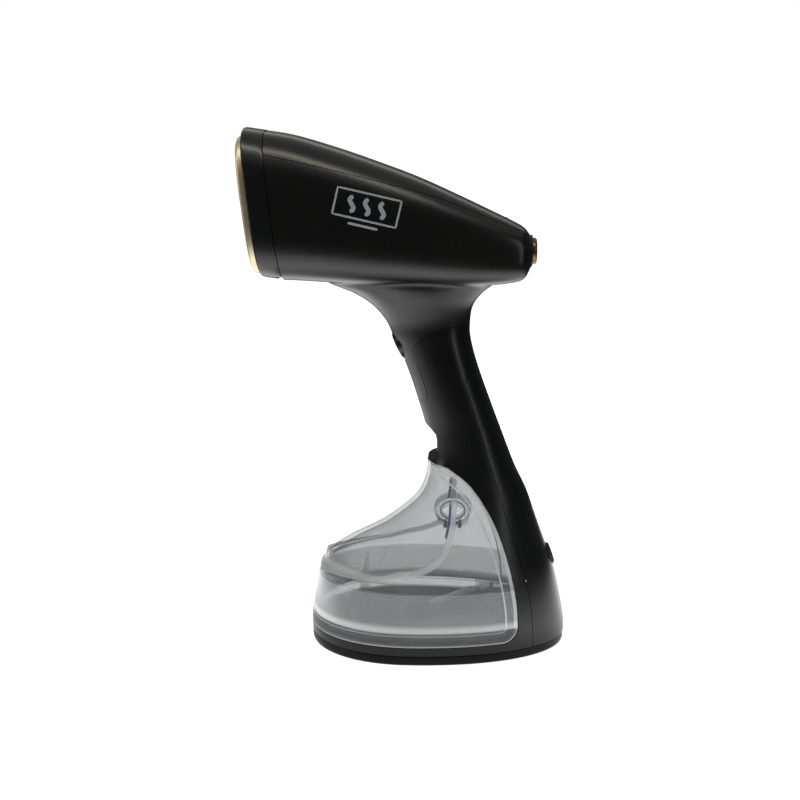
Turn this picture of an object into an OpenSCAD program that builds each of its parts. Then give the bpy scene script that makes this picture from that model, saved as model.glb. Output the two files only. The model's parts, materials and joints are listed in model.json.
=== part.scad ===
// Handheld garment steamer with a slide-off water tank.
// +X is the rear (power button), -X the steam plate, +Z up. The feet stand on z = 0.

/* [Housing] */
// Wall of the black housing shells
wall = 2.4; // [2:0.1:2.8]
// Gap shown between two housing shells
seam = 0.3; // [0.2:0.05:0.4]
// Half width of the lower body at its widest
base_half_w = 46.4; // [44:0.2:49]
// Half width of the grip
grip_half_w = 17; // [16.5:0.1:18]
// Half width of the head behind the collar
head_half_w = 33; // [31.5:0.1:34.5]

/* [Steam plate] */
// Lean of the steam plate from upright, in degrees
face_tilt = 6.8; // [6.4:0.1:7.2]
// How far the plate stands out of the collar
plate_proud = 3.6; // [3:0.1:4.2]
// Diameter of one steam hole
steam_hole_d = 2.6; // [2:0.1:3.2]
// Holes in the outer row
outer_holes = 12; // [8:2:14]

/* [Controls] */
// Diameter of the power button
power_d = 14; // [13:0.1:14.4]
// Diameter of the steam trigger
trigger_d = 16; // [15:0.1:16.4]

/* [Tank] */
// Wall of the clear tank
tank_wall = 1.8; // [1.5:0.1:2.2]
// Gap between the tank and the housing
tank_gap = 0.4; // [0.3:0.05:0.6]
// Diameter of the fill opening
fill_d = 15; // [12:0.5:15.5]

/* [Base] */
// Height of a foot below the base plate
foot_proud = 0.8; // [0.6:0.1:1.2]
// Radius of a foot
foot_r = 6; // [5:0.1:6.4]

/* [Hidden] */
ring_n = 40;        // points round a shell section
slice = 0.02;       // thickness of one section
fit = 0.05;         // radial clearance of a running fit
round_fn = 48;      // steps round a small turned part

base_z = 6.5;       // base plate top, housing skirt starts
deck_z = 11;        // deck that the tank stands on
weld_z = 19;        // joint between tank shell and tank tray
tank_top_z = 102.8;

// Sections of the lower body and grip: z, front x, rear x, x of the widest place, half width
side_front = -52.6;
BODY = [
    [0, -51, 88.4, 3, base_half_w - 0.8],
    [12.3, side_front, 88.3, 3, base_half_w],
    [28, -50.4, 85.6, 5, base_half_w - 1.6],
    [45, -47, 81.4, 9, 41],
    [58, -38, 76.4, 14, 35.6],
    [72, -22, 71.2, 21, 29.6],
    [86, -2, 66.2, 28, 24.2],
    [100, 11, 59.4, 34, 20.2],
    [118, 11.4, 52.4, 31, grip_half_w + 0.9],
    [138, 6, 44.8, 25.6, grip_half_w],
    [156, -0.2, 38.4, 19.4, grip_half_w - 0.6],
    [170, -6.6, 34.7, 14.4, grip_half_w - 0.8],
    [179, -10.7, 34.3, 12, grip_half_w - 0.4],
    [187.6, -18.2, 35.8, 9, 18.4],
    [194, -28.4, 40.6, 6, 20.2],
    [199, -41, 47, 3, 21.2],
    [205, -50, 54, 1, 21]
];

// Sections of the head: top x, top z, bottom x, bottom z, half width
face_mid = [-79.2, 241.5];
HEAD = [
    [-72.1, 278.3, -62.9, 201.3, head_half_w],
    [-57.5, 275.8, -51, 200.8, head_half_w - 0.1],
    [-36, 269.6, -32, 199.6, head_half_w - 0.8],
    [-14, 262.2, -13, 198.4, head_half_w - 2.2],
    [6, 254.8, 6, 197.8, head_half_w - 4.2],
    [26, 246, 26, 197.6, head_half_w - 7],
    [44, 237.6, 44, 198.6, head_half_w - 10.2],
    [57, 231.4, 56.4, 200, head_half_w - 13.4],
    [62.6, 228, 62, 202, head_half_w - 16]
];
HEAD_END = [65.8, 223.4, 65.2, 207.4, head_half_w - 20.5];

// Curves seen from the side, as points that a smooth curve passes through
TANK_ARC = [[13.6, 106.4], [22.6, 102.2], [35.8, 92.2], [48, 73], [56, 51], [60, 33], [61, 19.8]];
TANK_RIDGE = [[17.4, 104.6], [17.8, 88], [15.6, 67], [11, 57], [3, 49.6], [-12, 46.2], [-47, 45]];
TANK_BROW = [[11.8, 104.6], [11, 94], [4.6, 81.1], [-13.2, 66.9], [-31.7, 57.3], [-43, 49.4],
    [-47, 41]];
CREASE = [[-80, 268], [-45.6, 260.7], [-10.9, 252.2], [17.3, 244.4], [45.6, 233.4], [70, 222.6]];
REAR_SEAM = [[40, 161], [35.4, 158.6], [32.4, 154], [32.4, 146], [37.3, 130], [45.1, 105],
    [55.2, 73], [65.3, 42.3], [68.8, 22], [69.6, 5]];
NECK_SEAM = [[2.9, 165.1], [5.6, 168.5], [10.9, 172.9], [18, 176], [27, 177.4], [40, 177.8]];
TONGUE = [[2.9, 165.1], [7.6, 153.5], [10.6, 145], [11.9, 138.4], [5, 136.6]];
NOTCH = [[4, 124.6], [10, 124.2], [13.6, 121.9], [16.4, 119], [17.8, 113], [18, 108.6],
    [17, 105.6], [4, 105]];

face_l = 11.4;                    // depth of the collar
collar_up = 38.9;
collar_down = 38.7;
collar_sink = 3.1;                // how far the collar's sections sink towards the head
plate_w = head_half_w - 2.6;
plate_up = 34.6;
plate_down = 36.8;
boiler_v = -3.2;
chamber_w = 25;
chamber_h = 28;
chamber_l = 17;
element_r = 18.6;
shield_u = 39.4;                  // depth of the heat shield behind the collar's face
power_z = 216.2;
power_x = 65.6;
trigger_at = [-3.3, 165.6];       // middle of the trigger's face
trigger_dir = 26;                 // its lean below the horizontal
release_at = [17.9, 112.4];
pump_at = [27, 146];              // middle of the pump
grip_tilt = -18.5;
valve_x = 61;
valve_z = 27;
fill_at = [26, 30.2, 63];
fill_lean = 24;
cord_hole_r = 3.6;
poppet_travel = 3.2;
screw_at = [[-36, 0], [22, 34], [22, -34], [72, 0]];
foot_at = [[-30, 24], [-30, -24], [58, 22], [58, -22]];

// ---------------------------------------------------------------- curves and sections

function catmull(a, b, c, d, t) = 0.5 * (2 * b + (c - a) * t + (2 * a - 5 * b + 4 * c - d) * t * t
    + (3 * b - a - 3 * c + d) * t * t * t);

// A smooth curve through the points, with n steps between two of them
function spline(p, n) = [
    for (i = [0 : len(p) - 2])
        for (k = [0 : n - 1])
            catmull(p[max(i - 1, 0)], p[i], p[i + 1], p[min(i + 2, len(p) - 1)], k / n),
    p[len(p) - 1]
];

function power(v, e) = sign(v) * pow(abs(v), e);

// A closed outline with different reach up and down, flatter sides for a larger exponent
function oval(w, up, down, e_up = 2.8, e_down = 3.6, n = ring_n) = [
    for (k = [0 : n - 1])
        let (a = 360 * k / n, up_side = sin(a) >= 0, e = 2 / (up_side ? e_up : e_down))
            [w * power(cos(a), e), (up_side ? up : down) * power(sin(a), e)]
];

// Section of the body at one height, drawn in by t
function body_ring(s, t) = [
    for (k = [0 : ring_n - 1])
        let (a = 360 * k / ring_n, half = (cos(a) < 0 ? s[3] - s[1] : s[2] - s[3]) - t)
            [s[3] + half * power(cos(a), 0.95), (s[4] - t) * power(sin(a), 0.95)]
];

// A closed solid through rings of points that run the same way round
module skin(rings) {
    n = len(rings[0]);
    last = len(rings) - 1;
    polyhedron(
        points = [for (r = rings, p = r) p],
        faces = concat(
            [[for (k = [0 : n - 1]) k]],
            [[for (k = [n - 1 : -1 : 0]) last * n + k]],
            [for (i = [0 : last - 1], k = [0 : n - 1], half = [0, 1])
                let (a = i * n + k, b = i * n + (k + 1) % n)
                    half == 0 ? [a, a + n, b + n] : [a, b + n, b]]),
        convexity = 6);
}

// A freeform shell is kept as one mesh, not cut face by face
module as_mesh() {
    resize([0, 0, 0]) children();
}

function lifted(ring, z) = [for (p = ring) [p[0], p[1], z]];

// Lower body and grip as one solid, drawn in by t, between two heights
module body_solid(t, low = 0, high = 205) {
    all = spline(BODY, t > 0 ? 1 : 2);
    skin([for (s = all) if (s[0] >= low && s[0] <= high) lifted(body_ring(s, t), s[0])]);
}

// Section of the head in its own leaning plane, drawn in by t
function head_ring(s, t) =
    let (top = [s[0], s[1]], low = [s[2], s[3]], mid = (top + low) / 2,
        high = norm(top - low), up = (top - low) / high)
        [for (p = oval(s[4] - t, high / 2 - t, high / 2 - t))
            [mid[0] + up[0] * p[1], p[0], mid[1] + up[1] * p[1]]];

// The head as one solid, drawn in by t
module head_solid(t) {
    rings = spline(HEAD, t > 0 ? 1 : 2);
    start = rings[0] - (t > 0 ? [1, 0, 1, 0, 0] : [0, 0, 0, 0, 0]);
    all = concat([start], [for (i = [1 : len(rings) - 1]) rings[i]],
        [HEAD_END - [t, 0, t, 0, 0]]);
    skin([for (s = all) head_ring(s, t)]);
}

// Extrudes a side view across the whole width
module across(width = 120) {
    rotate([90, 0, 0]) translate([0, 0, -width / 2]) linear_extrude(width) children();
}

// Places children in the frame of the steam plate: x inwards, z up along the plate
module on_face() {
    translate([face_mid[0], 0, face_mid[1]]) rotate([0, -face_tilt, 0]) children();
}

// The casting sits a little below the middle of the plate
module on_boiler() {
    on_face() translate([0, 0, boiler_v]) children();
}

// Extrudes an outline drawn in the plate's own plane from u0 to u1
module face_extrude(u0, u1) {
    translate([u0, 0, 0]) rotate([90, 0, 90]) linear_extrude(u1 - u0) children();
}

// A cylinder along X from x0 to x1
module rod(x0, x1, r, fn = round_fn) {
    translate([x0, 0, 0]) rotate([0, 90, 0]) cylinder(h = x1 - x0, r = r, $fn = fn);
}

// A tube along X from x0 to x1
module tube(x0, x1, r, bore, fn = round_fn) {
    difference() {
        rod(x0, x1, r, fn);
        rod(x0 - 1, x1 + 1, bore, fn);
    }
}

// A quarter or other part of a ring of round tube, in the XY plane
module bend(ring_r, r, angle, bore = 0) {
    rotate_extrude(angle = angle, $fn = 72) translate([ring_r, 0]) difference() {
        circle(r = r, $fn = round_fn);
        if (bore > 0) circle(r = bore, $fn = round_fn);
    }
}

// A coil spring along Z as stacked rings joined by a seam bar
module coil(r, wire, high, turns) {
    pitch = (high - 2 * wire) / turns;
    for (i = [0 : turns]) {
        translate([0, 0, wire + i * pitch]) rotate_extrude($fn = 48) translate([r, 0])
            circle(r = wire, $fn = 16);
    }
    translate([r, 0, wire]) cylinder(h = turns * pitch, r = wire * 0.7, $fn = 16);
}

// ---------------------------------------------------------------- regions seen from the side

module above_crease(gap = 0) {
    polygon(concat([for (p = spline(CREASE, 3)) p + [0, gap]], [[70, 300], [-80, 300]]));
}

module head_region() {
    polygon(concat([for (p = spline(NECK_SEAM, 2)) p + [0, seam / 2]],
        [[100, 177.9], [100, 300], [-120, 300], [-120, 136.6]],
        [for (i = [len(TONGUE) - 1 : -1 : 0]) TONGUE[i] - [seam / 2, 0]]));
}

module handle_region() {
    difference() {
        polygon(concat([[100, base_z], [100, 177.6]],
            [for (i = [len(NECK_SEAM) - 1 : -1 : 0]) NECK_SEAM[i] - [0, seam / 2]],
            [for (i = [1 : len(TONGUE) - 1]) TONGUE[i] + [seam / 2, 0]],
            [[-90, 136], [-90, base_z]]));
        polygon(NOTCH);
        tank_region(tank_gap);
    }
}

module rear_region(gap = 0) {
    polygon(concat([for (p = spline(REAR_SEAM, 2)) p + [gap, 0]], [[110, 5], [110, 161]]));
}

// In front of the arc, above the deck, grown by the gap
module tank_region(gap = 0) {
    corner = 8;
    bottom = deck_z + tank_gap - gap;
    arc = spline(TANK_ARC, 3);
    polygon(concat(
        [[-120, tank_top_z + gap]],
        [[13.6, tank_top_z + gap]],
        [for (p = arc) if (p[1] < tank_top_z) p + [gap, 0]],
        [for (a = [0 : 15 : 90]) [61 - corner + gap + corner * cos(a),
            bottom + corner - corner * sin(a)]],
        [[-120, bottom]]));
}

// ---------------------------------------------------------------- housing shells

module head_and_neck(t) {
    head_solid(t);
    body_solid(t, 134, 205);
}

// Hole for the trigger, wider behind for its flange
module trigger_hole() {
    at_trigger() {
        translate([0, 0, -6]) cylinder(h = 12, r = trigger_d / 2 + 1, $fn = 48);
        translate([0, 0, -14]) cylinder(h = 8.1, r = trigger_d / 2 + 1.8, $fn = 48);
    }
}

module head_housing() {
    color([0.05, 0.055, 0.055]) as_mesh() difference() {
        intersection() {
            head_and_neck(0);
            across() head_region();
        }
        head_and_neck(wall);
        across() above_crease(-seam / 2);
        translate([power_x - 6, 0, power_z]) rod(0, 12, power_d / 2 + 1.6);
        trigger_hole();
    }
    color([0.05, 0.055, 0.055]) as_mesh() intersection() {
        head_solid(wall / 2);
        for (side = [-1, 1], p = BOSSES) {
            head_boss(p, side);
        }
    }
}

// Post that a top cover screw bites into: x, reach to the side, height of its top
BOSSES = [[-34, 25.4, 240], [0, 22.6, 236], [34, 15.4, 224]];

module head_boss(p, side) {
    translate([p[0], side * p[1], 190]) difference() {
        cylinder(h = p[2] - 190, r = 2.8, $fn = 24);
        translate([0, 0, p[2] - 202]) cylinder(h = 13, r = 1.1, $fn = 16);
    }
}

module head_top_cover() {
    color([0.06, 0.065, 0.06]) as_mesh() difference() {
        intersection() {
            head_solid(0);
            across() above_crease(seam / 2);
        }
        head_solid(wall);
        translate([51.5, 0, 230]) cylinder(h = 20, r = 1.9, $fn = 32);
    }
}

module front_collar() {
    color([0.045, 0.05, 0.05]) on_face() difference() {
        collar_loft(0, face_l - seam, 0);
        face_extrude(-1, 3.4) polygon(oval(plate_w + 0.3, plate_up + 0.3, plate_down + 0.3,
            n = 60));
        collar_loft(3, face_l + 1, 3.6);
        translate([face_l - 3.8, -21, -collar_down - collar_sink - 1]) cube([5, 42, 3.8]);
    }
}

// Solid from u0 to u1 whose sections sink along the head, drawn in by t
module collar_loft(u0, u1, t) {
    hull() for (u = [u0, u1 - slice]) {
        translate([0, 0, -collar_sink * u / face_l]) face_extrude(u, u + slice)
            polygon(oval(head_half_w - t, collar_up - t, collar_down - t, n = 60));
    }
}

module steam_plate() {
    color([0.85, 0.72, 0.5]) on_face() difference() {
        union() {
            face_extrude(-plate_proud + 0.9, 3) polygon(oval(plate_w, plate_up, plate_down,
                n = 72));
            face_extrude(-plate_proud, -plate_proud + 1) polygon(oval(plate_w - 1,
                plate_up - 1, plate_down - 1, n = 72));
        }
        face_extrude(-0.6, 4) polygon(oval(plate_w - 6, plate_up - 6, plate_down - 6, n = 60));
        for (i = [0 : outer_holes - 1]) {
            steam_hole(19.5, 25, 360 * (i + 0.5) / outer_holes);
        }
        for (i = [0 : 7]) {
            steam_hole(11, 14.5, 45 * i);
        }
        steam_hole(0, 0, 0);
    }
}

// One steam hole on an oval of the given reach, flared outwards
module steam_hole(w, h, angle) {
    translate([-plate_proud - 0.1, w * cos(angle), h * sin(angle)]) {
        rod(0, 4.4, steam_hole_d / 2, 24);
        rotate([0, 90, 0]) cylinder(h = 0.7, r1 = steam_hole_d / 2 + 0.6,
            r2 = steam_hole_d / 2, $fn = 24);
    }
}

module plate_gasket() {
    color([0.7, 0.25, 0.15]) on_face() difference() {
        face_extrude(-0.5, 1.3) polygon(oval(plate_w - 6.3, plate_up - 6.3, plate_down - 6.3,
            n = 60));
        face_extrude(-1, 2) polygon(oval(plate_w - 8.3, plate_up - 8.3, plate_down - 8.3,
            n = 60));
    }
}

// ---------------------------------------------------------------- boiler

module steam_chamber() {
    color([0.72, 0.73, 0.74]) on_boiler() difference() {
        union() {
            face_extrude(1.4, 3.3) polygon(oval(chamber_w - 1.6, chamber_h - 2,
                chamber_h - 2, 2.6, 2.6, 60));
            face_extrude(3.2, 1.4 + chamber_l) polygon(oval(chamber_w, chamber_h, chamber_h,
                2.6, 2.6, 60));
            face_extrude(3.2, 5.6) polygon(oval(chamber_w + 3, chamber_h + 2.6,
                chamber_h + 2.6, 2.6, 2.6, 60));
        }
        face_extrude(7, 20) polygon(oval(chamber_w - 10, chamber_h - 10, chamber_h - 10,
            2.4, 2.4, 48));
        for (i = [0 : 5]) {
            translate([0, 9 * cos(60 * i), 12 * sin(60 * i)]) rod(0, 8, 2, 24);
        }
        element_groove(3.5);
        for (p = chamber_screw_at()) {
            translate([0, p[0], p[1]]) rod(10, 19, 1.4, 24);
        }
    }
}

function chamber_screw_at() = [for (s = [-1, 1], t = [-1, 1]) [s * 16.4, t * 20.4]];

// Horseshoe of the element, open at the bottom
module element_groove(r) {
    translate([chamber_l - 3.4, 0, 4]) rotate([90, 0, 90]) bend(element_r, r, 180);
    for (side = [-1, 1]) {
        translate([chamber_l - 3.4, side * element_r, -12]) cylinder(h = 16, r = r, $fn = 48);
        translate([chamber_l - 3.4, side * element_r, -12]) sphere(r = r, $fn = 48);
        translate([0, side * element_r, -12]) rod(chamber_l - 3.4, 24, r, 48);
    }
}

module heating_element() {
    color([0.55, 0.53, 0.5]) on_boiler() {
        element_groove(3.25);
        for (side = [-1, 1]) {
            translate([0, side * element_r, -12]) rod(23.9, 30, 1.2, 24);
        }
    }
}

module chamber_gasket() {
    color([0.75, 0.3, 0.2]) on_boiler() difference() {
        face_extrude(chamber_l + 1.4, chamber_l + 2.2) polygon(oval(chamber_w - 7.6,
            chamber_h - 6.4, chamber_h - 6.4, 2.4, 2.4, 48));
        face_extrude(chamber_l, chamber_l + 4) polygon(oval(chamber_w - 10.2,
            chamber_h - 10.2, chamber_h - 10.2, 2.4, 2.4, 48));
        for (side = [-1, 1]) {
            translate([0, side * element_r, -12]) rod(chamber_l, 24, 3.6, 48);
        }
        for (p = chamber_screw_at()) {
            translate([0, p[0], p[1]]) rod(chamber_l, 24, 1.8, 24);
        }
    }
}

module chamber_cover() {
    u = chamber_l + 2.2;
    color([0.68, 0.69, 0.7]) on_boiler() difference() {
        face_extrude(u, u + 3) polygon(oval(chamber_w, chamber_h, chamber_h, 2.6, 2.6, 60));
        translate([0, 0, 0]) rod(u - 1, u + 4, 3 + fit, 32);
        for (side = [-1, 1]) {
            translate([0, side * element_r, -12]) rod(u - 1, u + 4, 3.6, 48);
        }
        for (p = chamber_screw_at()) {
            translate([0, p[0], p[1]]) rod(u - 1, u + 4, 1.7, 24);
        }
    }
}

// Four cross-head screws through the cover into the casting
module chamber_screws() {
    u = chamber_l + 5.2;
    color([0.75, 0.75, 0.75]) on_boiler() for (p = chamber_screw_at()) {
        translate([0, p[0], p[1]]) difference() {
            union() {
                rod(u - 10, u, 1.3, 24);
                rod(u, u + 1.8, 2.8, 32);
            }
            translate([u + 1, -0.3, -1.6]) cube([1, 0.6, 3.2]);
            translate([u + 1, -1.6, -0.3]) cube([1, 3.2, 0.6]);
        }
    }
}

module steam_nozzle() {
    u = chamber_l + 2.2;
    color([0.78, 0.6, 0.25]) on_boiler() difference() {
        union() {
            rod(u - 1.6, u + 3, 3, 32);
            rod(u + 3, u + 4.6, 5, 6);
            rod(u + 4.6, u + 12, 2.2, 32);
        }
        rod(u - 2, u + 13, 1.1, 24);
    }
}

module thermostat() {
    u = chamber_l + 5.2;
    color([0.8, 0.8, 0.78]) on_boiler() translate([0, 0, 13.6]) {
        rod(u, u + 2.4, 8, 48);
        rod(u + 2.4, u + 8, 6.6, 48);
        for (side = [-1, 1]) {
            translate([u + 8, side * 3.4 - 1.5, -3]) cube([6, 3, 0.8]);
        }
    }
}

module thermal_fuse() {
    u = chamber_l + 5.2;
    color([0.86, 0.84, 0.8]) on_boiler() translate([u, 0, -14]) {
        translate([3, 0, 0]) rotate([90, 0, 0]) translate([0, 0, -9]) cylinder(h = 18, r = 2.2,
            $fn = 32);
        translate([0, -4, -3]) cube([1, 8, 6]);
        translate([0.6, -4, -2.6]) cube([2, 8, 0.8]);
        for (side = [-1, 1]) {
            translate([3, side * 8.9, 0]) rotate([side * -90, 0, 0]) cylinder(h = 4, r = 0.5,
                $fn = 16);
        }
    }
}

// Thin folded screen between the hot casting and the head shell
module heat_shield() {
    color([0.8, 0.8, 0.8]) on_boiler() difference() {
        face_extrude(chamber_l + 8, shield_u) polygon(oval(24.6, 25, 25, 2.6, 2.6, 48));
        face_extrude(chamber_l + 7, shield_u - 0.6) polygon(oval(24, 24.4, 24.4, 2.6, 2.6,
            48));
        rod(shield_u - 2, shield_u + 3, 5, 32);
        for (side = [-1, 1]) {
            translate([0, side * 17, -14]) rod(shield_u - 2, shield_u + 3, 3, 32);
        }
    }
}

// ---------------------------------------------------------------- power button and board

module power_button() {
    color([0.72, 0.5, 0.25]) translate([0, 0, power_z]) difference() {
        union() {
            rod(power_x - 3, power_x + 2.2, power_d / 2 - fit, 64);
            translate([power_x + 2.2, 0, 0]) rotate([0, 90, 0]) cylinder(h = 1,
                r1 = power_d / 2 - fit, r2 = power_d / 2 - 1, $fn = 64);
            rod(power_x - 4.4, power_x - 3, power_d / 2 + 0.9, 64);
            rod(power_x - 9, power_x - 4.4, 1.6, 32);
        }
        translate([power_x + 2.9, 0, 0]) rod(0, 1, power_d / 2 - 3.4, 48);
    }
}

module power_ring() {
    color([0.1, 0.08, 0.06]) translate([0, 0, power_z]) {
        tube(power_x - 2.9, power_x + 0.9, power_d / 2 + 1.5, power_d / 2, 64);
    }
}

module power_spring() {
    color([0.8, 0.8, 0.8]) translate([power_x - 11.4 + 0.1, 0, power_z]) rotate([0, 90, 0])
        coil(3.2, 0.25, 6.8, 4);
}

module power_switch() {
    color([0.15, 0.15, 0.16]) translate([power_x - 14.6, 0, power_z]) {
        translate([0, -6, -6]) cube([3.2, 12, 12]);
        rod(3.1, 3.6, 2.2, 32);
    }
}

module control_board() {
    x = power_x - 16.2;
    color([0.1, 0.35, 0.2]) {
        translate([x, -12.6, 204.4]) cube([1.6, 25.2, 22.6]);
    }
    color([0.2, 0.2, 0.22]) {
        translate([x - 9, -11, 206]) cube([9.1, 10, 12]);
        translate([x - 6, 3, 206]) cube([6.1, 8, 6]);
        translate([x - 3, 2, 216]) cube([3.1, 9, 3]);
    }
    color([0.9, 0.9, 0.8]) translate([x + 2.1, 0, 224]) cylinder(h = 5.2, r = 1.4, $fn = 32);
}

module indicator_lens() {
    color([0.75, 0.8, 0.85]) translate([51.5, 0, 229.6]) {
        cylinder(h = 4.2, r = 1.8, $fn = 32);
        cylinder(h = 0.8, r = 2.4, $fn = 32);
    }
}

// ---------------------------------------------------------------- handle

module handle_shell() {
    color([0.05, 0.055, 0.055]) as_mesh() difference() {
        intersection() {
            body_solid(0, 5, 184);
            across() handle_region();
        }
        difference() {
            body_solid(wall, 0, 184);
            across() offset(delta = wall) tank_region(tank_gap);
            across() offset(delta = wall) polygon(NOTCH);
            translate([-60, -60, deck_z - 2]) cube([114, 120, 8]);
            across() polygon([[-40, 130], [TONGUE[3][0] + wall, 136], [8 + wall, 154],
                [3 + wall, 168], [-40, 168]]);
        }
        trigger_hole();
        across() rear_region();
        translate([valve_x - 4, 0, valve_z]) rod(-2, 12, 5.2);
        translate([release_at[0] - 4, -6.9, release_at[1] - 4.6]) cube([9, 13.8, 9.2]);
        for (p = [screw_at[0], screw_at[1], screw_at[2]]) {
            translate([p[0], p[1], base_z - 1]) cylinder(h = 4.8, r = 1.2, $fn = 24);
        }
    }
}

module rear_cover() {
    color([0.04, 0.045, 0.045]) as_mesh() difference() {
        intersection() {
            body_solid(0, 5, 184);
            across() rear_region(seam);
            across() handle_region();
        }
        body_solid(wall, 0, 184);
        at_gland() rod(-8, 8, 6 + 0.1);
    }
}

module at_trigger() {
    translate([trigger_at[0], 0, trigger_at[1]]) rotate([0, -90 - trigger_dir, 0]) children();
}

module steam_trigger() {
    color([0.1, 0.105, 0.11]) at_trigger() {
        difference() {
            union() {
                translate([0, 0, -6]) cylinder(h = 6.4, r = trigger_d / 2, $fn = 64);
                translate([0, 0, 0.4]) cylinder(h = 1.1, r1 = trigger_d / 2,
                    r2 = trigger_d / 2 - 1.6, $fn = 64);
                translate([0, 0, -7.4]) cylinder(h = 1.5, r = trigger_d / 2 + 1.2, $fn = 64);
            }
            translate([0, 0, 32]) sphere(r = 30.9, $fn = 96);
            translate([0, 0, -8]) cylinder(h = 6.6, r = trigger_d / 2 - 1.6, $fn = 64);
        }
        translate([0, 0, -8.6]) cylinder(h = 8, r = 1.5, $fn = 32);
    }
}

module trigger_frame() {
    color([0.07, 0.07, 0.075]) at_trigger() difference() {
        translate([0, 0, -5.8]) cylinder(h = 5.2, r = trigger_d / 2 + 0.9, $fn = 64);
        translate([0, 0, -7]) cylinder(h = 8, r = trigger_d / 2 + fit, $fn = 64);
    }
}

module trigger_spring() {
    color([0.8, 0.8, 0.8]) at_trigger() translate([0, 0, -11.9]) coil(4.6, 0.3, 10.4, 5);
}

module trigger_switch() {
    color([0.12, 0.12, 0.13]) at_trigger() {
        translate([-6, -4, -17.2]) cube([12, 8, 5.2]);
        translate([-1, -1, -12.1]) cube([2, 2, 0.7]);
    }
}

module along_grip() {
    translate([pump_at[0], 0, pump_at[1]]) rotate([0, grip_tilt, 0]) children();
}

module pump_body() {
    color([0.85, 0.85, 0.82]) along_grip() difference() {
        union() {
            translate([0, 0, -26]) cylinder(h = 46, r = 6, $fn = 48);
            translate([0, 0, -32]) cylinder(h = 6.1, r = 1.6, $fn = 32);
            translate([0, 0, 19.9]) cylinder(h = 6.5, r = 2.2, $fn = 32);
            translate([0, 0, -25]) cylinder(h = 3, r = 7.6, $fn = 48);
        }
        translate([0, 0, -33]) cylinder(h = 60, r = 0.9, $fn = 24);
    }
}

module pump_coil() {
    color([0.6, 0.3, 0.12]) along_grip() difference() {
        translate([0, 0, -15.6]) cylinder(h = 31.2, r = 8.1, $fn = 48);
        translate([0, 0, -17]) cylinder(h = 34, r = 6 + fit, $fn = 48);
    }
}

// Steel yoke round the coil
module pump_bracket() {
    color([0.7, 0.7, 0.72]) along_grip() difference() {
        translate([-9.6, -6.5, -17.4]) cube([19.2, 13, 34.8]);
        translate([-8.3, -12, -15.8]) cube([16.6, 24, 31.6]);
        translate([0, 0, -19]) cylinder(h = 40, r = 6 + 0.1, $fn = 48);
    }
}

function pump_end(up) = [pump_at[0] + up * sin(grip_tilt), 0, pump_at[1] + up * cos(grip_tilt)];

module inlet_hose() {
    color([0.9, 0.9, 0.88]) hose([[valve_x + 5.6, 0, valve_z], [valve_x + 13, 0, valve_z],
        [70, 10, 42], [59, 9, 70], pump_end(-33), pump_end(-26.4)], 3, 1.65);
}

module outlet_hose() {
    color([0.9, 0.9, 0.88]) hose([pump_end(20.4), pump_end(28), [-30, 0, 244.1],
        [-50.6, 0, 241.65]], 3.6, 2.25);
}

// Round bar through points, with ball corners
module bent_rod(points, r) {
    for (i = [0 : len(points) - 2]) {
        run = points[i + 1] - points[i];
        translate(points[i]) rotate([0, acos(run[2] / norm(run)), atan2(run[1], run[0])])
            cylinder(h = norm(run), r = r, $fn = 32);
        if (i > 0) {
            translate(points[i]) sphere(r = r + 0.12, $fn = 32);
        }
    }
}

module hose(points, r, bore) {
    last = len(points) - 1;
    run = points[last] - points[last - 1];
    step = points[0] - points[1];
    difference() {
        bent_rod(points, r);
        bent_rod(concat([points[0] + step / norm(step)],
            [for (i = [1 : last - 1]) points[i]], [points[last] + run / norm(run)]), bore);
    }
}

module dock_spigot() {
    color([0.85, 0.85, 0.82]) translate([0, 0, valve_z]) difference() {
        union() {
            rod(valve_x + 3.2, valve_x + 5.4, 8, 48);
            rod(valve_x - 6.4, valve_x + 4, 3, 48);
            rod(valve_x + 5, valve_x + 12, 1.6, 32);
        }
        rod(valve_x - 8, valve_x + 13, 0.9, 24);
        translate([valve_x - 3.6, 0, 0]) tube(0, 1.8, 4, 2.2, 48);
    }
}

module dock_seal() {
    color([0.08, 0.08, 0.08]) translate([valve_x - 2.7, 0, valve_z]) rotate([0, 90, 0])
        rotate_extrude($fn = 64) translate([2.85, 0]) circle(r = 0.6, $fn = 24);
}

module at_gland() {
    translate([79.4, 0, 49.2]) rotate([0, -20, 0]) children();
}

module cord_gland() {
    color([0.06, 0.06, 0.06]) at_gland() difference() {
        union() {
            rod(-7.4, 0.8, 6, 64);
            rod(0.8, 1.6, 5.4, 64);
            rod(-7.4, -4.4, 7.4, 64);
        }
        rod(-9, 3, cord_hole_r, 64);
    }
}

module cord_clamp() {
    color([0.75, 0.72, 0.6]) at_gland() difference() {
        translate([-17, -9, -4.6]) cube([6, 14, 9.2]);
        rod(-18, -10, cord_hole_r - 0.2, 48);
        translate([-14, -6.8, -6]) cylinder(h = 12, r = 1.2, $fn = 24);
    }
}

// ---------------------------------------------------------------- base

module base_plate() {
    color([0.05, 0.05, 0.05]) difference() {
        translate([0, 0, foot_proud]) linear_extrude(base_z - foot_proud - seam)
            polygon(body_ring([0, side_front, 88.4, 3, base_half_w], 0.35));
        translate([0, 0, foot_proud + 3]) linear_extrude(base_z)
            polygon(body_ring([0, side_front, 88.4, 3, base_half_w], 3.6));
        for (p = screw_at) {
            translate([p[0], p[1], 0]) cylinder(h = 10, r = 1.8, $fn = 32);
            translate([p[0], p[1], 0]) cylinder(h = foot_proud + 1.6, r = 3.4, $fn = 32);
        }
        for (p = foot_at) {
            translate([p[0], p[1], 0]) cylinder(h = foot_proud + 1.4, r = foot_r + 0.05,
                $fn = 48);
        }
    }
}

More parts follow.
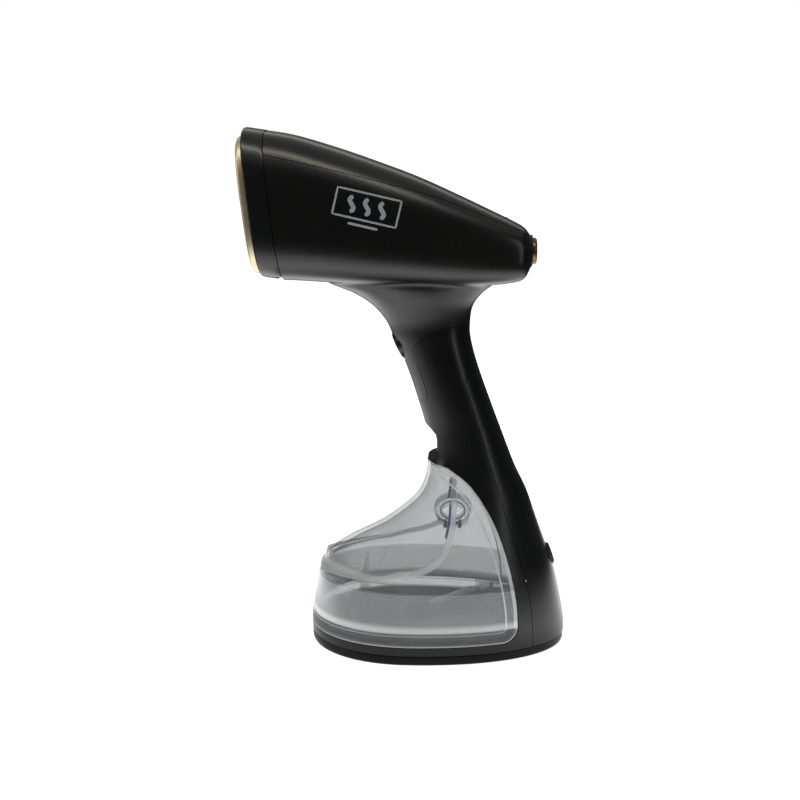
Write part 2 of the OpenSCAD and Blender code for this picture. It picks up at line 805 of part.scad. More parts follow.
module base_screws() {
    color([0.6, 0.6, 0.6]) for (p = screw_at) {
        translate([p[0], p[1], foot_proud + 0.2]) difference() {
            union() {
                cylinder(h = 1.4, r = 2.9, $fn = 32);
                cylinder(h = 9, r = 1.15, $fn = 24);
            }
            translate([-1.8, -0.3, -0.1]) cube([3.6, 0.6, 0.9]);
            translate([-0.3, -1.8, -0.1]) cube([0.6, 3.6, 0.9]);
        }
    }
}

module foot(i) {
    color([0.12, 0.12, 0.12]) translate([foot_at[i][0], foot_at[i][1], 0])
        cylinder(h = foot_proud + 1.4, r = foot_r, $fn = 48);
}

// ---------------------------------------------------------------- tank release

module release_button() {
    color([0.09, 0.09, 0.095]) translate([release_at[0], 0, release_at[1]]) {
        difference() {
            translate([-0.9, -6.6, -4.3]) cube([6, 13.2, 8.6]);
            for (i = [-1 : 1]) {
                translate([-1.2, -5, i * 2.4 - 0.5]) cube([0.9, 10, 1]);
            }
        }
        translate([3.6, -8.2, -5.4]) cube([1.5, 16.4, 10.8]);
    }
}

module release_spring() {
    color([0.8, 0.8, 0.8]) translate([release_at[0] + 5.2, 0, release_at[1]])
        rotate([0, 90, 0]) coil(3, 0.3, 6, 4);
}

// ---------------------------------------------------------------- tank

// How far the brow of the tank has moved back at this height, by looking along a curve
function along(points, z, i = 0) = i >= len(points) - 2 || z >= points[i + 1][1]
    ? points[i][0] + (points[i + 1][0] - points[i][0])
        * (points[i][1] - z) / max(points[i][1] - points[i + 1][1], 0.001)
    : along(points, z, i + 1);

brow = spline(TANK_BROW, 4);
ridge = spline(TANK_RIDGE, 4);
body_fine = spline(BODY, 4);

function body_at(z) = [z, lookup(z, [for (s = body_fine) [s[0], s[1]]]),
    lookup(z, [for (s = body_fine) [s[0], s[2]]]),
    lookup(z, [for (s = body_fine) [s[0], s[3]]]),
    lookup(z, [for (s = body_fine) [s[0], s[4]]])];

// Width of a body section at one x
function half_width(s, x) = s[4] * pow(max(1 - pow(abs((x - s[3]) / (s[3] - s[1])), 2.1), 0), 0.476);

// Tank section: the body section with its front drawn to the crowned brow above the ridge
function tank_ring(z, t) =
    let (s = body_at(z), front = side_front * (z < 45 ? 0 : 1) + (z < 45 ? s[1] : 0),
        wide = [z, z < 45 ? s[1] : side_front, s[2], s[3], s[4]],
        mid = z < 45 ? s[1] : along(brow, z), edge = z < 45 ? s[1] : along(ridge, z),
        reach = max(half_width(wide, max(edge, s[1])), 6))
        [for (p = body_ring(wide, t))
            let (crown = mid + (edge - mid) * pow(min(abs(p[1]) / reach, 1.3), 2) + t)
                [z < 45 || p[0] > s[3] ? p[0] : max(p[0], crown), p[1]]];

TANK_LEVELS = [10, 15, 19, 24, 30, 36, 41, 44.9, 45.6, 46.6, 48, 50, 53, 57, 62, 68, 75, 83, 92,
    100, 108];

module tank_solid(t) {
    skin([for (i = [0 : len(TANK_LEVELS) - 1])
        lifted(tank_ring(TANK_LEVELS[i], t), TANK_LEVELS[i] - (i > 6 ? t : 0))]);
}

module tank_hollow() {
    difference() {
        intersection() {
            tank_solid(0);
            across() tank_region();
        }
        intersection() {
            tank_solid(tank_wall);
            across() offset(delta = -tank_wall) tank_region();
        }
    }
}

module tank_shell() {
    color([0.75, 0.78, 0.8, 0.5]) as_mesh() difference() {
        union() {
            intersection() {
                tank_hollow();
                translate([-100, -60, weld_z + 0.1]) cube([200, 120, 100]);
            }
            intersection() {
                tank_solid(0);
                across() tank_region();
                translate([-100, -60, weld_z + 0.1]) cube([200, 120, 1.4]);
                difference() {
                    translate([-100, -60, weld_z]) cube([200, 120, 4]);
                    translate([0, 0, weld_z - 1]) linear_extrude(6)
                        polygon(tank_ring(weld_z, tank_wall + 2));
                }
            }
        }
        translate([valve_x - 12, 0, valve_z]) rod(0, 20, 7 + fit);
        at_fill() {
            translate([0, 0, -6]) cylinder(h = 26, r = fill_d / 2 + 2.1, $fn = 48);
            translate([0, 0, 1.9]) cylinder(h = 4, r = fill_d / 2 + 3.6, $fn = 48);
            for (x = [-5.3, 3.1]) {
                translate([x, fill_d / 2 + 1.5, 1.5]) cube([2.2, 5.2, 8]);
            }
            translate([-3, fill_d / 2 + 1, 2.4]) cube([6, 6.4, 8]);
        }
    }
}

module tank_tray() {
    color([0.7, 0.74, 0.78, 0.5]) as_mesh() {
        intersection() {
            tank_hollow();
            translate([-100, -60, 0]) cube([200, 120, weld_z - 0.1]);
        }
        intersection() {
            tank_solid(0);
            across() tank_region();
            difference() {
                translate([-100, -60, weld_z - 1.5]) cube([200, 120, 1.4]);
                translate([0, 0, weld_z - 3]) linear_extrude(6)
                    polygon(tank_ring(weld_z, tank_wall + 2));
            }
        }
    }
}

// Cross wall that stops the water surging forwards
module tank_baffle() {
    color([0.8, 0.82, 0.84, 0.5]) difference() {
        translate([-24, -30, deck_z + tank_gap + tank_wall]) cube([1.4, 60, 24]);
        for (y = [-20 : 10 : 20]) {
            translate([-25, y - 2, 0]) cube([4, 4, 18]);
        }
    }
}

module at_fill() {
    translate(fill_at) rotate([-90 + fill_lean, 0, 0]) children();
}

module fill_neck() {
    color([0.8, 0.82, 0.84, 0.6]) at_fill() difference() {
        union() {
            translate([0, 0, -4]) cylinder(h = 7.6, r = fill_d / 2 + 2, $fn = 64);
            translate([0, 0, 2]) cylinder(h = 1.6, r = fill_d / 2 + 3.4, $fn = 64);
        }
        translate([0, 0, -5]) cylinder(h = 20, r = fill_d / 2, $fn = 64);
    }
}

module fill_cap() {
    r = fill_d / 2;
    color([0.75, 0.76, 0.78]) at_fill() {
        translate([0, 0, 4]) cylinder(h = 1.6, r = r + 3.2, $fn = 64);
        translate([0, 0, -0.6]) cylinder(h = 4.7, r = r - 0.9, $fn = 64);
        translate([-2.8, -r - 4.6, 4]) cube([5.6, 5, 1.6]);
        difference() {
            union() {
                translate([-2.8, r + 1, 4]) cube([5.6, 4.4, 1.6]);
                translate([-2.8, r + 5, 4.2]) rotate([0, 90, 0]) cylinder(h = 5.6, r = 1.6,
                    $fn = 32);
            }
            translate([-4, r + 5, 4.2]) rotate([0, 90, 0]) cylinder(h = 8, r = 0.85, $fn = 32);
        }
    }
}

module fill_seal() {
    color([0.15, 0.15, 0.16]) at_fill() translate([0, 0, 1]) rotate_extrude($fn = 64)
        translate([fill_d / 2 - 0.5, 0]) circle(r = 0.4, $fn = 24);
}

module fill_pin() {
    r = fill_d / 2;
    color([0.7, 0.7, 0.72]) at_fill() {
        translate([-5.4, r + 5, 4.2]) rotate([0, 90, 0]) cylinder(h = 10.8, r = 0.8, $fn = 32);
        for (x = [-5.2, 3.2]) {
            difference() {
                translate([x, r + 3.6, 1.6]) cube([2, 3, 4.2]);
                translate([x - 1, r + 5, 4.2]) rotate([0, 90, 0]) cylinder(h = 4, r = 0.85,
                    $fn = 32);
            }
        }
    }
}

module valve_body() {
    color([0.85, 0.86, 0.88]) translate([0, 0, valve_z]) difference() {
        union() {
            rod(valve_x - 22, valve_x - 1.6, 7, 64);
        }
        rod(valve_x - 9, valve_x + 1, 3.6, 64);
        rod(valve_x - 20, valve_x - 8.9, 4.4, 64);
        rod(valve_x - 23, valve_x - 19, 2, 32);
    }
}

module valve_poppet() {
    color([0.2, 0.2, 0.22]) translate([0, 0, valve_z]) {
        rod(valve_x - 9 - poppet_travel - 1.5, valve_x - 9 - poppet_travel, 4.34, 64);
        rod(valve_x - 9.1 - poppet_travel, valve_x - 6.6, 1.5, 32);
        rod(valve_x - 16, valve_x - 10.4 - poppet_travel, 1.5, 32);
    }
}

module valve_spring() {
    color([0.8, 0.8, 0.8]) translate([valve_x - 19.6, 0, valve_z]) rotate([0, 90, 0])
        coil(3, 0.25, 5.8, 4);
}

module pickup_tube() {
    color([0.85, 0.86, 0.86]) {
        hose([[valve_x - 20.6, 0, valve_z], [valve_x - 25, 0, valve_z], [13.4, 0, 18.2]],
        1.9, 1.2);
    }
}

module pickup_filter() {
    color([0.7, 0.7, 0.72]) translate([8, 0, 18.2]) difference() {
        union() {
            rod(-8, 6, 4.2, 48);
        }
        rod(-6, 7, 2.6, 32);
        for (i = [0 : 3]) {
            translate([-5 + 3 * i, 0, 0]) tube(0, 1, 5, 3.8, 48);
        }
    }
}

head_housing();
head_top_cover();
front_collar();
steam_plate();
plate_gasket();
steam_chamber();
heating_element();
chamber_cover();
chamber_gasket();
chamber_screws();
steam_nozzle();
thermostat();
thermal_fuse();
heat_shield();
power_button();
power_ring();
power_switch();
power_spring();
control_board();
indicator_lens();
handle_shell();
rear_cover();
steam_trigger();
trigger_frame();
trigger_spring();
trigger_switch();
pump_body();
pump_coil();
pump_bracket();
inlet_hose();
outlet_hose();
dock_spigot();
dock_seal();
cord_gland();
cord_clamp();
base_plate();
base_screws();
for (i = [0 : 3]) {
    foot(i);
}
release_button();
release_spring();
tank_shell();
tank_tray();
tank_baffle();
fill_neck();
fill_seal();
fill_cap();
fill_pin();
valve_body();
valve_poppet();
valve_spring();
pickup_tube();
pickup_filter();
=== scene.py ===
"""Looks of a handheld garment steamer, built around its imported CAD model.

The head and grip shells are lofted from the same sections as the CAD, fused into one skin, smoothed
and cut along their part lines. The tank, the collar and the base are lofted directly. Lengths in the
classes are millimetres; meshes, lights and the camera are in metres.
"""

import json
import logging
import math
from dataclasses import dataclass
from enum import Enum
from typing import Callable, Iterable, Sequence

import bpy
import numpy as np
from mathutils import Matrix, Vector

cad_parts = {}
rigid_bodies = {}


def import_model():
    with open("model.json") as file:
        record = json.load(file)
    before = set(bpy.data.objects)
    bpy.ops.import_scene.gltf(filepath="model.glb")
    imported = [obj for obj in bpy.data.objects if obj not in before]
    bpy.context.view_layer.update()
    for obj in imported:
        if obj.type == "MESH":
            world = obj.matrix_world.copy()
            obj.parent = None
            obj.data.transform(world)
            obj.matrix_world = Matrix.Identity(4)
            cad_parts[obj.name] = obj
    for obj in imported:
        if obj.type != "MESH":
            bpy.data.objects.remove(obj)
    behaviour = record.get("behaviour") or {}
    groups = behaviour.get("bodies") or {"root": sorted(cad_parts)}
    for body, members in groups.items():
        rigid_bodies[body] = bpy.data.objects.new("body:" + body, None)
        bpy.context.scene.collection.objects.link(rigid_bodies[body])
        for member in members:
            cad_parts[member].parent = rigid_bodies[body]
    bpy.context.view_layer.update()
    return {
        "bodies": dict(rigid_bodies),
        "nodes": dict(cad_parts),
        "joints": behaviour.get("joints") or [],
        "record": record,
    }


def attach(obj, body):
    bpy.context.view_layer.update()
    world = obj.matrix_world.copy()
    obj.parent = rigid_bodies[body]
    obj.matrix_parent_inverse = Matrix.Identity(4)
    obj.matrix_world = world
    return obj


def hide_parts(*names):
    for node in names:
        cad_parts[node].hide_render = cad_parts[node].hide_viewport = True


MM = 0.001
LOG = logging.getLogger("steamer")
Point = tuple[float, float]
Place = tuple[float, float, float]
Colour = tuple[float, float, float]


# ------------------------------------------------------------------ curves and sections


def smooth_path(points: Sequence[Sequence[float]], steps: int) -> np.ndarray:
    """A smooth curve through points.

    Args:
        points: the points it passes through, of any dimension.
        steps: how many steps lie between two of them.
    Returns:
        The points of the curve, one per row.
    """
    known = np.array(points, float)
    last = len(known) - 1
    rows = []
    for i in range(last):
        a, b = known[max(i - 1, 0)], known[i]
        c, d = known[i + 1], known[min(i + 2, last)]
        for k in range(steps):
            t = k / steps
            rows.append(0.5 * (2 * b + (c - a) * t + (2 * a - 5 * b + 4 * c - d) * t * t
                               + (3 * b - a - 3 * c + d) * t ** 3))
    rows.append(known[last])
    return np.array(rows)


def signed_power(value: np.ndarray, exponent: float | np.ndarray) -> np.ndarray:
    """A power that keeps the sign of its value."""
    return np.sign(value) * np.abs(value) ** exponent


def turn(count: int) -> np.ndarray:
    """Angles of a full turn, without the last one."""
    return np.linspace(0.0, 2.0 * math.pi, count, endpoint=False)


def oval(wide: float, up: float, down: float, count: int, e_up: float = 2.8,
         e_down: float = 3.6) -> np.ndarray:
    """A closed outline with its own reach up and down.

    Args:
        wide: half width.
        up: reach above the middle.
        down: reach below the middle.
        count: number of points.
        e_up: how square the upper half is, 2 for an ellipse.
        e_down: how square the lower half is.
    Returns:
        Rows of across and up.
    """
    a = turn(count)
    upper = np.sin(a) >= 0
    e = 2.0 / np.where(upper, e_up, e_down)
    return np.stack([wide * signed_power(np.cos(a), e),
                     np.where(upper, up, down) * signed_power(np.sin(a), e)], 1)


def outset(points: Sequence[Point], distance: float) -> list[Point]:
    """A closed outline grown outwards, corner by corner.

    Args:
        points: the outline.
        distance: how far it grows.
    Returns:
        The grown outline.
    """
    p = np.array(points, float)
    area = np.sum(p[:, 0] * np.roll(p[:, 1], -1) - np.roll(p[:, 0], -1) * p[:, 1])
    ahead = np.roll(p, -1, 0) - p
    ahead /= np.linalg.norm(ahead, axis=1)[:, None]
    normal = np.stack([ahead[:, 1], -ahead[:, 0]], 1) * np.sign(area)
    corner = normal + np.roll(normal, 1, 0)
    corner /= np.maximum(np.sum(corner * normal, 1), 0.5)[:, None]
    return [tuple(row) for row in p + corner * distance]


@dataclass
class SteamerForm:
    """Sections and part lines of the steamer, the same as in the CAD."""

    seam: float = 0.3
    wall: float = 2.4
    base_half: float = 46.4
    grip_half: float = 17.0
    head_half: float = 33.0
    face_tilt: float = 6.8
    face_mid: Point = (-79.2, 241.5)
    face_deep: float = 11.4
    collar_up: float = 38.9
    collar_down: float = 38.7
    collar_sink: float = 3.1
    side_front: float = -52.6
    deck_z: float = 11.0
    base_z: float = 6.5
    tank_gap: float = 0.4
    tank_top: float = 102.8
    ridge_z: float = 45.0
    neck_top: float = 205.0
    valve_z: float = 27.0
    ring: int = 144

    def body_stations(self) -> list[tuple[float, ...]]:
        """Sections of base and grip: height, front, rear, widest place, half width."""
        grip = self.grip_half
        return [(0, -51, 88.4, 3, self.base_half - 0.8), (12.3, self.side_front, 88.3, 3, self.base_half),
                (28, -50.4, 85.6, 5, self.base_half - 1.6), (45, -47, 81.4, 9, 41),
                (58, -38, 76.4, 14, 35.6), (72, -22, 71.2, 21, 29.6), (86, -2, 66.2, 28, 24.2),
                (100, 11, 59.4, 34, 20.2), (118, 11.4, 52.4, 31, grip + 0.9),
                (138, 6, 44.8, 25.6, grip), (156, -0.2, 38.4, 19.4, grip - 0.6),
                (170, -6.6, 34.7, 14.4, grip - 0.8), (179, -10.7, 34.3, 12, grip - 0.4),
                (187.6, -18.2, 35.8, 9, 18.4), (194, -28.4, 40.6, 6, 20.2), (199, -41, 47, 3, 21.2),
                (205, -50, 54, 1, 21)]

    def head_stations(self) -> list[tuple[float, ...]]:
        """Sections of the head: top x, top z, bottom x, bottom z, half width."""
        half = self.head_half
        return [(-72.1, 278.3, -62.9, 201.3, half), (-57.5, 275.8, -51, 200.8, half - 0.1),
                (-36, 269.6, -32, 199.6, half - 0.8), (-14, 262.2, -13, 198.4, half - 2.2),
                (6, 254.8, 6, 197.8, half - 4.2), (26, 246, 26, 197.6, half - 7),
                (44, 237.6, 44, 198.6, half - 10.2), (57, 231.4, 56.4, 200, half - 13.4),
                (62.6, 228, 62, 202, half - 16), (65.8, 223.4, 65.2, 207.4, half - 20.5)]

    def crease(self, lift: float = 0.0) -> list[Point]:
        """Part line between the top cover and the head."""
        points = [(-80, 268), (-45.6, 260.7), (-10.9, 252.2), (17.3, 244.4), (45.6, 233.4), (70, 222.6)]
        return [(x, z + lift) for x, z in smooth_path(points, 8)]

    def neck_seam(self, lift: float = 0.0) -> list[Point]:
        """Part line between the head and the grip."""
        points = [(2.9, 165.1), (5.6, 168.5), (10.9, 172.9), (18, 176), (27, 177.4), (40, 177.8)]
        return [(x, z + lift) for x, z in smooth_path(points, 6)]

    def tongue(self, shift: float = 0.0) -> list[Point]:
        """Strip of the head that runs down the front of the grip."""
        points = [(2.9, 165.1), (7.6, 153.5), (10.6, 145), (11.9, 138.4), (5, 136.6)]
        return [(x + shift, z) for x, z in points]

    def notch(self) -> list[Point]:
        """Finger recess above the tank."""
        return [(4, 124.6), (10, 124.2), (13.6, 121.9), (16.4, 119), (17.8, 113), (18, 108.6),
                (17, 105.6), (4, 105)]

    def rear_region(self, gap: float = 0.0) -> list[Point]:
        """Side view of the rear grip cover."""
        points = [(40, 161), (35.4, 158.6), (32.4, 154), (32.4, 146), (37.3, 130), (45.1, 105),
                  (55.2, 73), (65.3, 42.3), (68.8, 22), (69.6, 5)]
        return [(x + gap, z) for x, z in smooth_path(points, 6)] + [(110, 5), (110, 161)]

    def head_region(self) -> list[Point]:
        """Side view of all that belongs to the head, from the collar back."""
        (top_x, top_z, low_x, low_z, _) = self.head_stations()[0]
        lean = (top_x - low_x) / (top_z - low_z)
        front = [(top_x + (300 - top_z) * lean, 300), (low_x + (190 - low_z) * lean, 190),
                 (low_x + 1.5, 136.6)]
        return (self.neck_seam(self.seam / 2) + [(100, 177.9), (100, 300)] + front
                + self.tongue(-self.seam / 2)[:0:-1])

    def handle_region(self) -> list[Point]:
        """Side view of the grip and the lower body."""
        return ([(100, self.base_z), (100, 177.6)] + self.neck_seam(-self.seam / 2)[::-1]
                + self.tongue(self.seam / 2)[1:] + [(-90, 136), (-90, self.base_z)])

    def tank_region(self, gap: float = 0.0) -> list[Point]:
        """Side view of the tank's bay, grown by the gap."""
        corner, rear = 8.0, 61.0
        bottom = self.deck_z + self.tank_gap - gap
        points = [(13.6, 106.4), (22.6, 102.2), (35.8, 92.2), (48, 73), (56, 51), (60, 33), (61, 19.8)]
        arc = [(x + gap, z) for x, z in smooth_path(points, 9) if z < self.tank_top]
        bend = [(rear - corner + gap + corner * math.cos(a), bottom + corner - corner * math.sin(a))
                for a in np.linspace(0, math.pi / 2, 9)]
        return ([(-120, self.tank_top + gap), (13.6 + min(gap, 0), self.tank_top + gap)] + arc + bend
                + [(-120, bottom)])

    def above_crease(self, lift: float) -> list[Point]:
        """Side view of the top cover."""
        return self.crease(lift) + [(70, 300), (-80, 300)]

    def body_ring(self, s: Sequence[float], inset: float) -> np.ndarray:
        """Section of the body at one height.

        Args:
            s: a station of the body.
            inset: how far it is drawn in.
        Returns:
            Rows of x, y and z.
        """
        a = turn(self.ring)
        half = np.where(np.cos(a) < 0, s[3] - s[1], s[2] - s[3]) - inset
        return np.stack([s[3] + half * signed_power(np.cos(a), 0.95),
                         (s[4] - inset) * signed_power(np.sin(a), 0.95), np.full_like(a, s[0])], 1)

    def head_ring(self, s: Sequence[float], inset: float) -> np.ndarray:
        """Section of the head in its own leaning plane, drawn in by the inset."""
        top, low = np.array(s[0:2], float), np.array(s[2:4], float)
        mid, high = (top + low) / 2, np.linalg.norm(top - low)
        up = (top - low) / high
        flat = oval(s[4] - inset, high / 2 - inset, high / 2 - inset, self.ring)
        return np.stack([mid[0] + up[0] * flat[:, 1], flat[:, 0], mid[1] + up[1] * flat[:, 1]], 1)

    def face_ring(self, u: float, wide: float, up: float, down: float, sink: float = 0.0) -> np.ndarray:
        """An oval in the plane of the steam plate.

        Args:
            u: depth behind the collar's face.
            wide: half width.
            up: reach along the plate to the top.
            down: reach to the bottom.
            sink: how far it has sunk along the plate.
        Returns:
            Rows of x, y and z.
        """
        flat = oval(wide, up, down, self.ring)
        return self.on_face(u, flat[:, 0], flat[:, 1] - sink)

    def on_face(self, u: float | np.ndarray, y: np.ndarray, v: np.ndarray) -> np.ndarray:
        """Points given by depth, side and height on the steam plate's plane."""
        c, s = math.cos(math.radians(self.face_tilt)), math.sin(math.radians(self.face_tilt))
        u = np.zeros_like(v) + u
        return np.stack([self.face_mid[0] + u * c - v * s, y + np.zeros_like(v),
                         self.face_mid[1] + u * s + v * c], 1)

    def head_rings(self, inset: float) -> np.ndarray:
        """All sections of the head, its front run on ahead of the collar seam."""
        rows = smooth_path(self.head_stations(), 7)
        rows[-1] -= np.array([inset, 0, inset, 0, 0])
        lead = np.array([1.0, 0.12, 1.0, 0.12, 0.0])
        ahead = 10.0 if inset > 0 else 7.0
        fronts = [rows[0] - lead * ahead * k / 4 for k in range(4, 0, -1)]
        rings = [self.head_ring(s, inset) for s in [*fronts, *rows]]
        if inset == 0:
            end = rows[-1].copy()
            for push, draw in ((0.7, 1.6), (1.0, 3.6)):
                s = end + np.array([push, -draw, push, draw, -draw])
                rings.append(self.head_ring(s, 0))
        return np.array(rings)

    def body_rings(self, inset: float, low: float, high: float) -> np.ndarray:
        """Sections of the body between two heights, drawn in by the inset."""
        rows = smooth_path(self.body_stations(), 6)
        return np.array([self.body_ring(s, inset) for s in rows if low <= s[0] <= high])

    def body_at(self, z: float) -> np.ndarray:
        """The body's station at one height."""
        rows = smooth_path(self.body_stations(), 8)
        return np.array([z] + [np.interp(z, rows[:, 0], rows[:, k]) for k in range(1, 5)])

    def tank_ring(self, z: float, inset: float) -> np.ndarray:
        """Section of the tank: the body's, its front drawn back to a crowned brow above the ridge.

        Args:
            z: height.
            inset: how far it is drawn in.
        Returns:
            Rows of x, y and z.
        """
        s = self.body_at(z)
        if z < self.ridge_z:
            return self.body_ring(s, inset)
        brow = smooth_path([(11.8, 104.6), (11, 94), (4.6, 81.1), (-13.2, 66.9), (-31.7, 57.3),
                            (-43, 49.4), (-47, 41)], 6)[::-1]
        ridge = smooth_path([(17.4, 104.6), (17.8, 88), (15.6, 67), (11, 57), (3, 49.6), (-12, 46.2),
                             (-47, 45)], 6)[::-1]
        mid = np.interp(z, brow[:, 1], brow[:, 0])
        edge = np.interp(z, ridge[:, 1], ridge[:, 0])
        wide = s.copy()
        wide[1] = self.side_front
        span = abs((max(edge, s[1]) - wide[3]) / (wide[3] - wide[1]))
        reach = max(wide[4] * max(1 - span ** 2.1, 0) ** 0.476, 6)
        ring = self.body_ring(wide, inset)
        crown = mid + (edge - mid) * np.minimum(np.abs(ring[:, 1]) / reach, 1.3) ** 2 + inset
        ring[:, 0] = np.where(ring[:, 0] > s[3], ring[:, 0], np.maximum(ring[:, 0], crown))
        return ring

    def tank_rings(self, inset: float) -> np.ndarray:
        """All sections of the tank, drawn in by the inset, with the ridge a little rounded."""
        levels = [8.0, *np.arange(10, 43, 2.0), *np.linspace(43.3, self.ridge_z - 0.01, 8),
                  *np.linspace(self.ridge_z + 0.03, 47.0, 9), *np.arange(47.5, 60, 0.5),
                  *np.arange(60, 112, 1.0)]
        rings, radius = [], 1.6
        for z in levels:
            ring = self.tank_ring(z, inset)
            if z > self.ridge_z:
                ring[:, 2] -= inset
            else:
                rise = max(z - self.ridge_z + radius, 0.0)
                draw = radius - math.sqrt(max(radius ** 2 - rise ** 2, 0.0))
                share = np.clip((4.0 - ring[:, 0]) / 16.0, 0.0, 1.0)
                draw = draw * (share * share * (3 - 2 * share))[:, None]
                middle = np.array([9.0, 0.0])
                out = ring[:, :2] - middle
                ring[:, :2] -= out / np.linalg.norm(out, axis=1)[:, None] * draw
                ring[:, 2] -= inset * min(max(z - 13.0, 0.0) / (self.ridge_z - 13.0), 1.0)
            rings.append(ring)
        return np.array(rings)


# ------------------------------------------------------------------ the modelling bench


class Blend(Enum):
    """How one solid acts on another."""

    CUT = "DIFFERENCE"
    KEEP = "INTERSECT"
    ADD = "UNION"


class Bodies(Enum):
    """The moving bodies of the frame."""

    HOUSING = "housing"
    POWER = "power_key"
    TRIGGER = "trigger_key"
    RELEASE = "release_key"
    TANK = "tank"
    CAP = "cap"


class Piece:
    """One mesh on the bench, shaped step by step with the editing operators."""

    def __init__(self, name: str) -> None:
        """Takes the object that an operator has just added."""
        self.obj = bpy.context.object
        self.obj.name = name
        self.obj.data.name = name

    @staticmethod
    def clear() -> None:
        """Deselects everything in object mode."""
        if bpy.context.mode != "OBJECT":
            bpy.ops.object.mode_set(mode="OBJECT")
        bpy.ops.object.select_all(action="DESELECT")

    @classmethod
    def loft(cls, name: str, rings: np.ndarray, capped: bool = True) -> "Piece":
        """A skin through closed rings, from a grid that is wrapped round.

        Args:
            name: name of the piece.
            rings: rings by points by x, y, z in millimetres.
            capped: closes both ends; otherwise the last ring joins the first.
        Returns:
            The new piece.
        """
        if not capped:
            rings = np.concatenate([rings, rings[:1]])
        cls.clear()
        rows, count = rings.shape[:2]
        bpy.ops.mesh.primitive_grid_add(x_subdivisions=count, y_subdivisions=rows - 1, size=1)
        piece = cls(name)
        wrapped = np.concatenate([rings, rings[:, :1]], 1).reshape(-1, 3) * MM
        piece.obj.data.vertices.foreach_set("co", wrapped.astype(np.float32).ravel())
        piece.edit()
        bpy.ops.mesh.remove_doubles(threshold=1e-7)
        if capped:
            bpy.ops.mesh.select_all(action="SELECT")
            bpy.ops.mesh.fill_holes(sides=0)
        piece.face_out()
        return piece

    @classmethod
    def prism(cls, name: str, outline: Sequence[Point], reach: float = 60.0) -> "Piece":
        """A side view pulled across from one side to the other.

        Args:
            name: name of the piece.
            outline: rows of x and z.
            reach: how far it goes to each side.
        Returns:
            The new piece.
        """
        cls.clear()
        bpy.ops.mesh.primitive_circle_add(vertices=len(outline), fill_type="NGON")
        piece = cls(name)
        flat = np.array([(x, -reach, z) for x, z in outline], np.float32) * MM
        piece.obj.data.vertices.foreach_set("co", flat.ravel())
        piece.edit()
        bpy.ops.mesh.extrude_region_move(TRANSFORM_OT_translate={"value": (0, 2 * reach * MM, 0)})
        piece.face_out()
        return piece

    @classmethod
    def lathe(cls, name: str, profile: Sequence[Point], place: Matrix, steps: int = 64) -> "Piece":
        """A turned solid.

        Args:
            name: name of the piece.
            profile: rows of radius and height, from one end to the other.
            place: where its axis stands, in millimetres.
            steps: steps in a full turn.
        Returns:
            The new piece.
        """
        a = turn(steps)
        rings = np.array([np.stack([r * np.cos(a), r * np.sin(a), np.full_like(a, h)], 1)
                          for r, h in profile])
        turned = rings.reshape(-1, 3) @ np.array(place.to_3x3()).T + np.array(place.translation)
        return cls.loft(name, turned.reshape(rings.shape))

    @classmethod
    def hoop(cls, name: str, profile: Sequence[Point], place: Matrix, steps: int = 96) -> "Piece":
        """A turned ring with an open bore.

        Args:
            name: name of the piece.
            profile: rows of radius and height, once round the ring's section.
            place: where its axis stands, in millimetres.
            steps: steps in a full turn.
        Returns:
            The new piece.
        """
        rings = [place_ring(place, r, h, turn(steps)) for r, h in profile]
        return cls.loft(name, np.array(rings), capped=False)

    @classmethod
    def block(cls, name: str, low: Sequence[float], high: Sequence[float], place: Matrix | None = None,
              bevel: float = 0.0) -> "Piece":
        """A block between two corners.

        Args:
            name: name of the piece.
            low: lowest corner.
            high: highest corner.
            place: frame that the corners are given in.
            bevel: width of its edge rounding, 0 for sharp edges.
        Returns:
            The new piece.
        """
        cls.clear()
        bpy.ops.mesh.primitive_cube_add(size=1)
        piece = cls(name)
        mid = (Vector(low) + Vector(high)) / 2 * MM
        size = (Vector(high) - Vector(low)) * MM
        piece.edit()
        bpy.ops.transform.resize(value=size)
        bpy.ops.transform.translate(value=mid)
        piece.clear()
        if bevel:
            piece.rounded(bevel)
        if place is not None:
            piece.moved(place)
        return piece

    def active(self) -> None:
        """Selects only this piece."""
        self.clear()
        self.obj.select_set(True)
        bpy.context.view_layer.objects.active = self.obj

    def edit(self) -> None:
        """Opens the piece for editing, with all of it selected."""
        self.active()
        bpy.ops.object.mode_set(mode="EDIT")
        bpy.ops.mesh.select_all(action="SELECT")

    def face_out(self) -> None:
        """Turns every face outwards and ends the editing."""
        bpy.ops.mesh.select_all(action="SELECT")
        bpy.ops.mesh.normals_make_consistent(inside=False)
        self.clear()

    def moved(self, place: Matrix) -> "Piece":
        """Moves the mesh by a matrix in millimetres."""
        shift = place.copy()
        shift.translation = place.translation * MM
        self.obj.data.transform(shift)
        return self

    def copied(self, name: str) -> "Piece":
        """A copy with its own mesh."""
        self.active()
        bpy.ops.object.duplicate(linked=False)
        return Piece(name)

    def modify(self, kind: str, **settings: object) -> "Piece":
        """Adds a modifier with its settings and applies it."""
        self.active()
        modifier = self.obj.modifiers.new(kind.lower(), kind)
        for key, value in settings.items():
            setattr(modifier, key, value)
        bpy.ops.object.modifier_apply(modifier=modifier.name)
        return self

    def meet(self, tool: "Piece", how: Blend, keep_tool: bool = False) -> "Piece":
        """Cuts, keeps or adds the space of another solid.

        Args:
            tool: the other solid.
            how: what it does.
            keep_tool: leaves the other solid on the bench.
        Returns:
            This piece.
        """
        self.modify("BOOLEAN", operation=how.value, solver="MANIFOLD", object=tool.obj)
        if not keep_tool:
            tool.drop()
        return self

    def drop(self) -> None:
        """Removes the piece."""
        mesh = self.obj.data
        bpy.data.objects.remove(self.obj)
        bpy.data.meshes.remove(mesh)

    def joined(self, others: Iterable["Piece"]) -> "Piece":
        """Takes other pieces into this mesh."""
        self.active()
        for other in others:
            other.obj.select_set(True)
        bpy.ops.object.join()
        return self

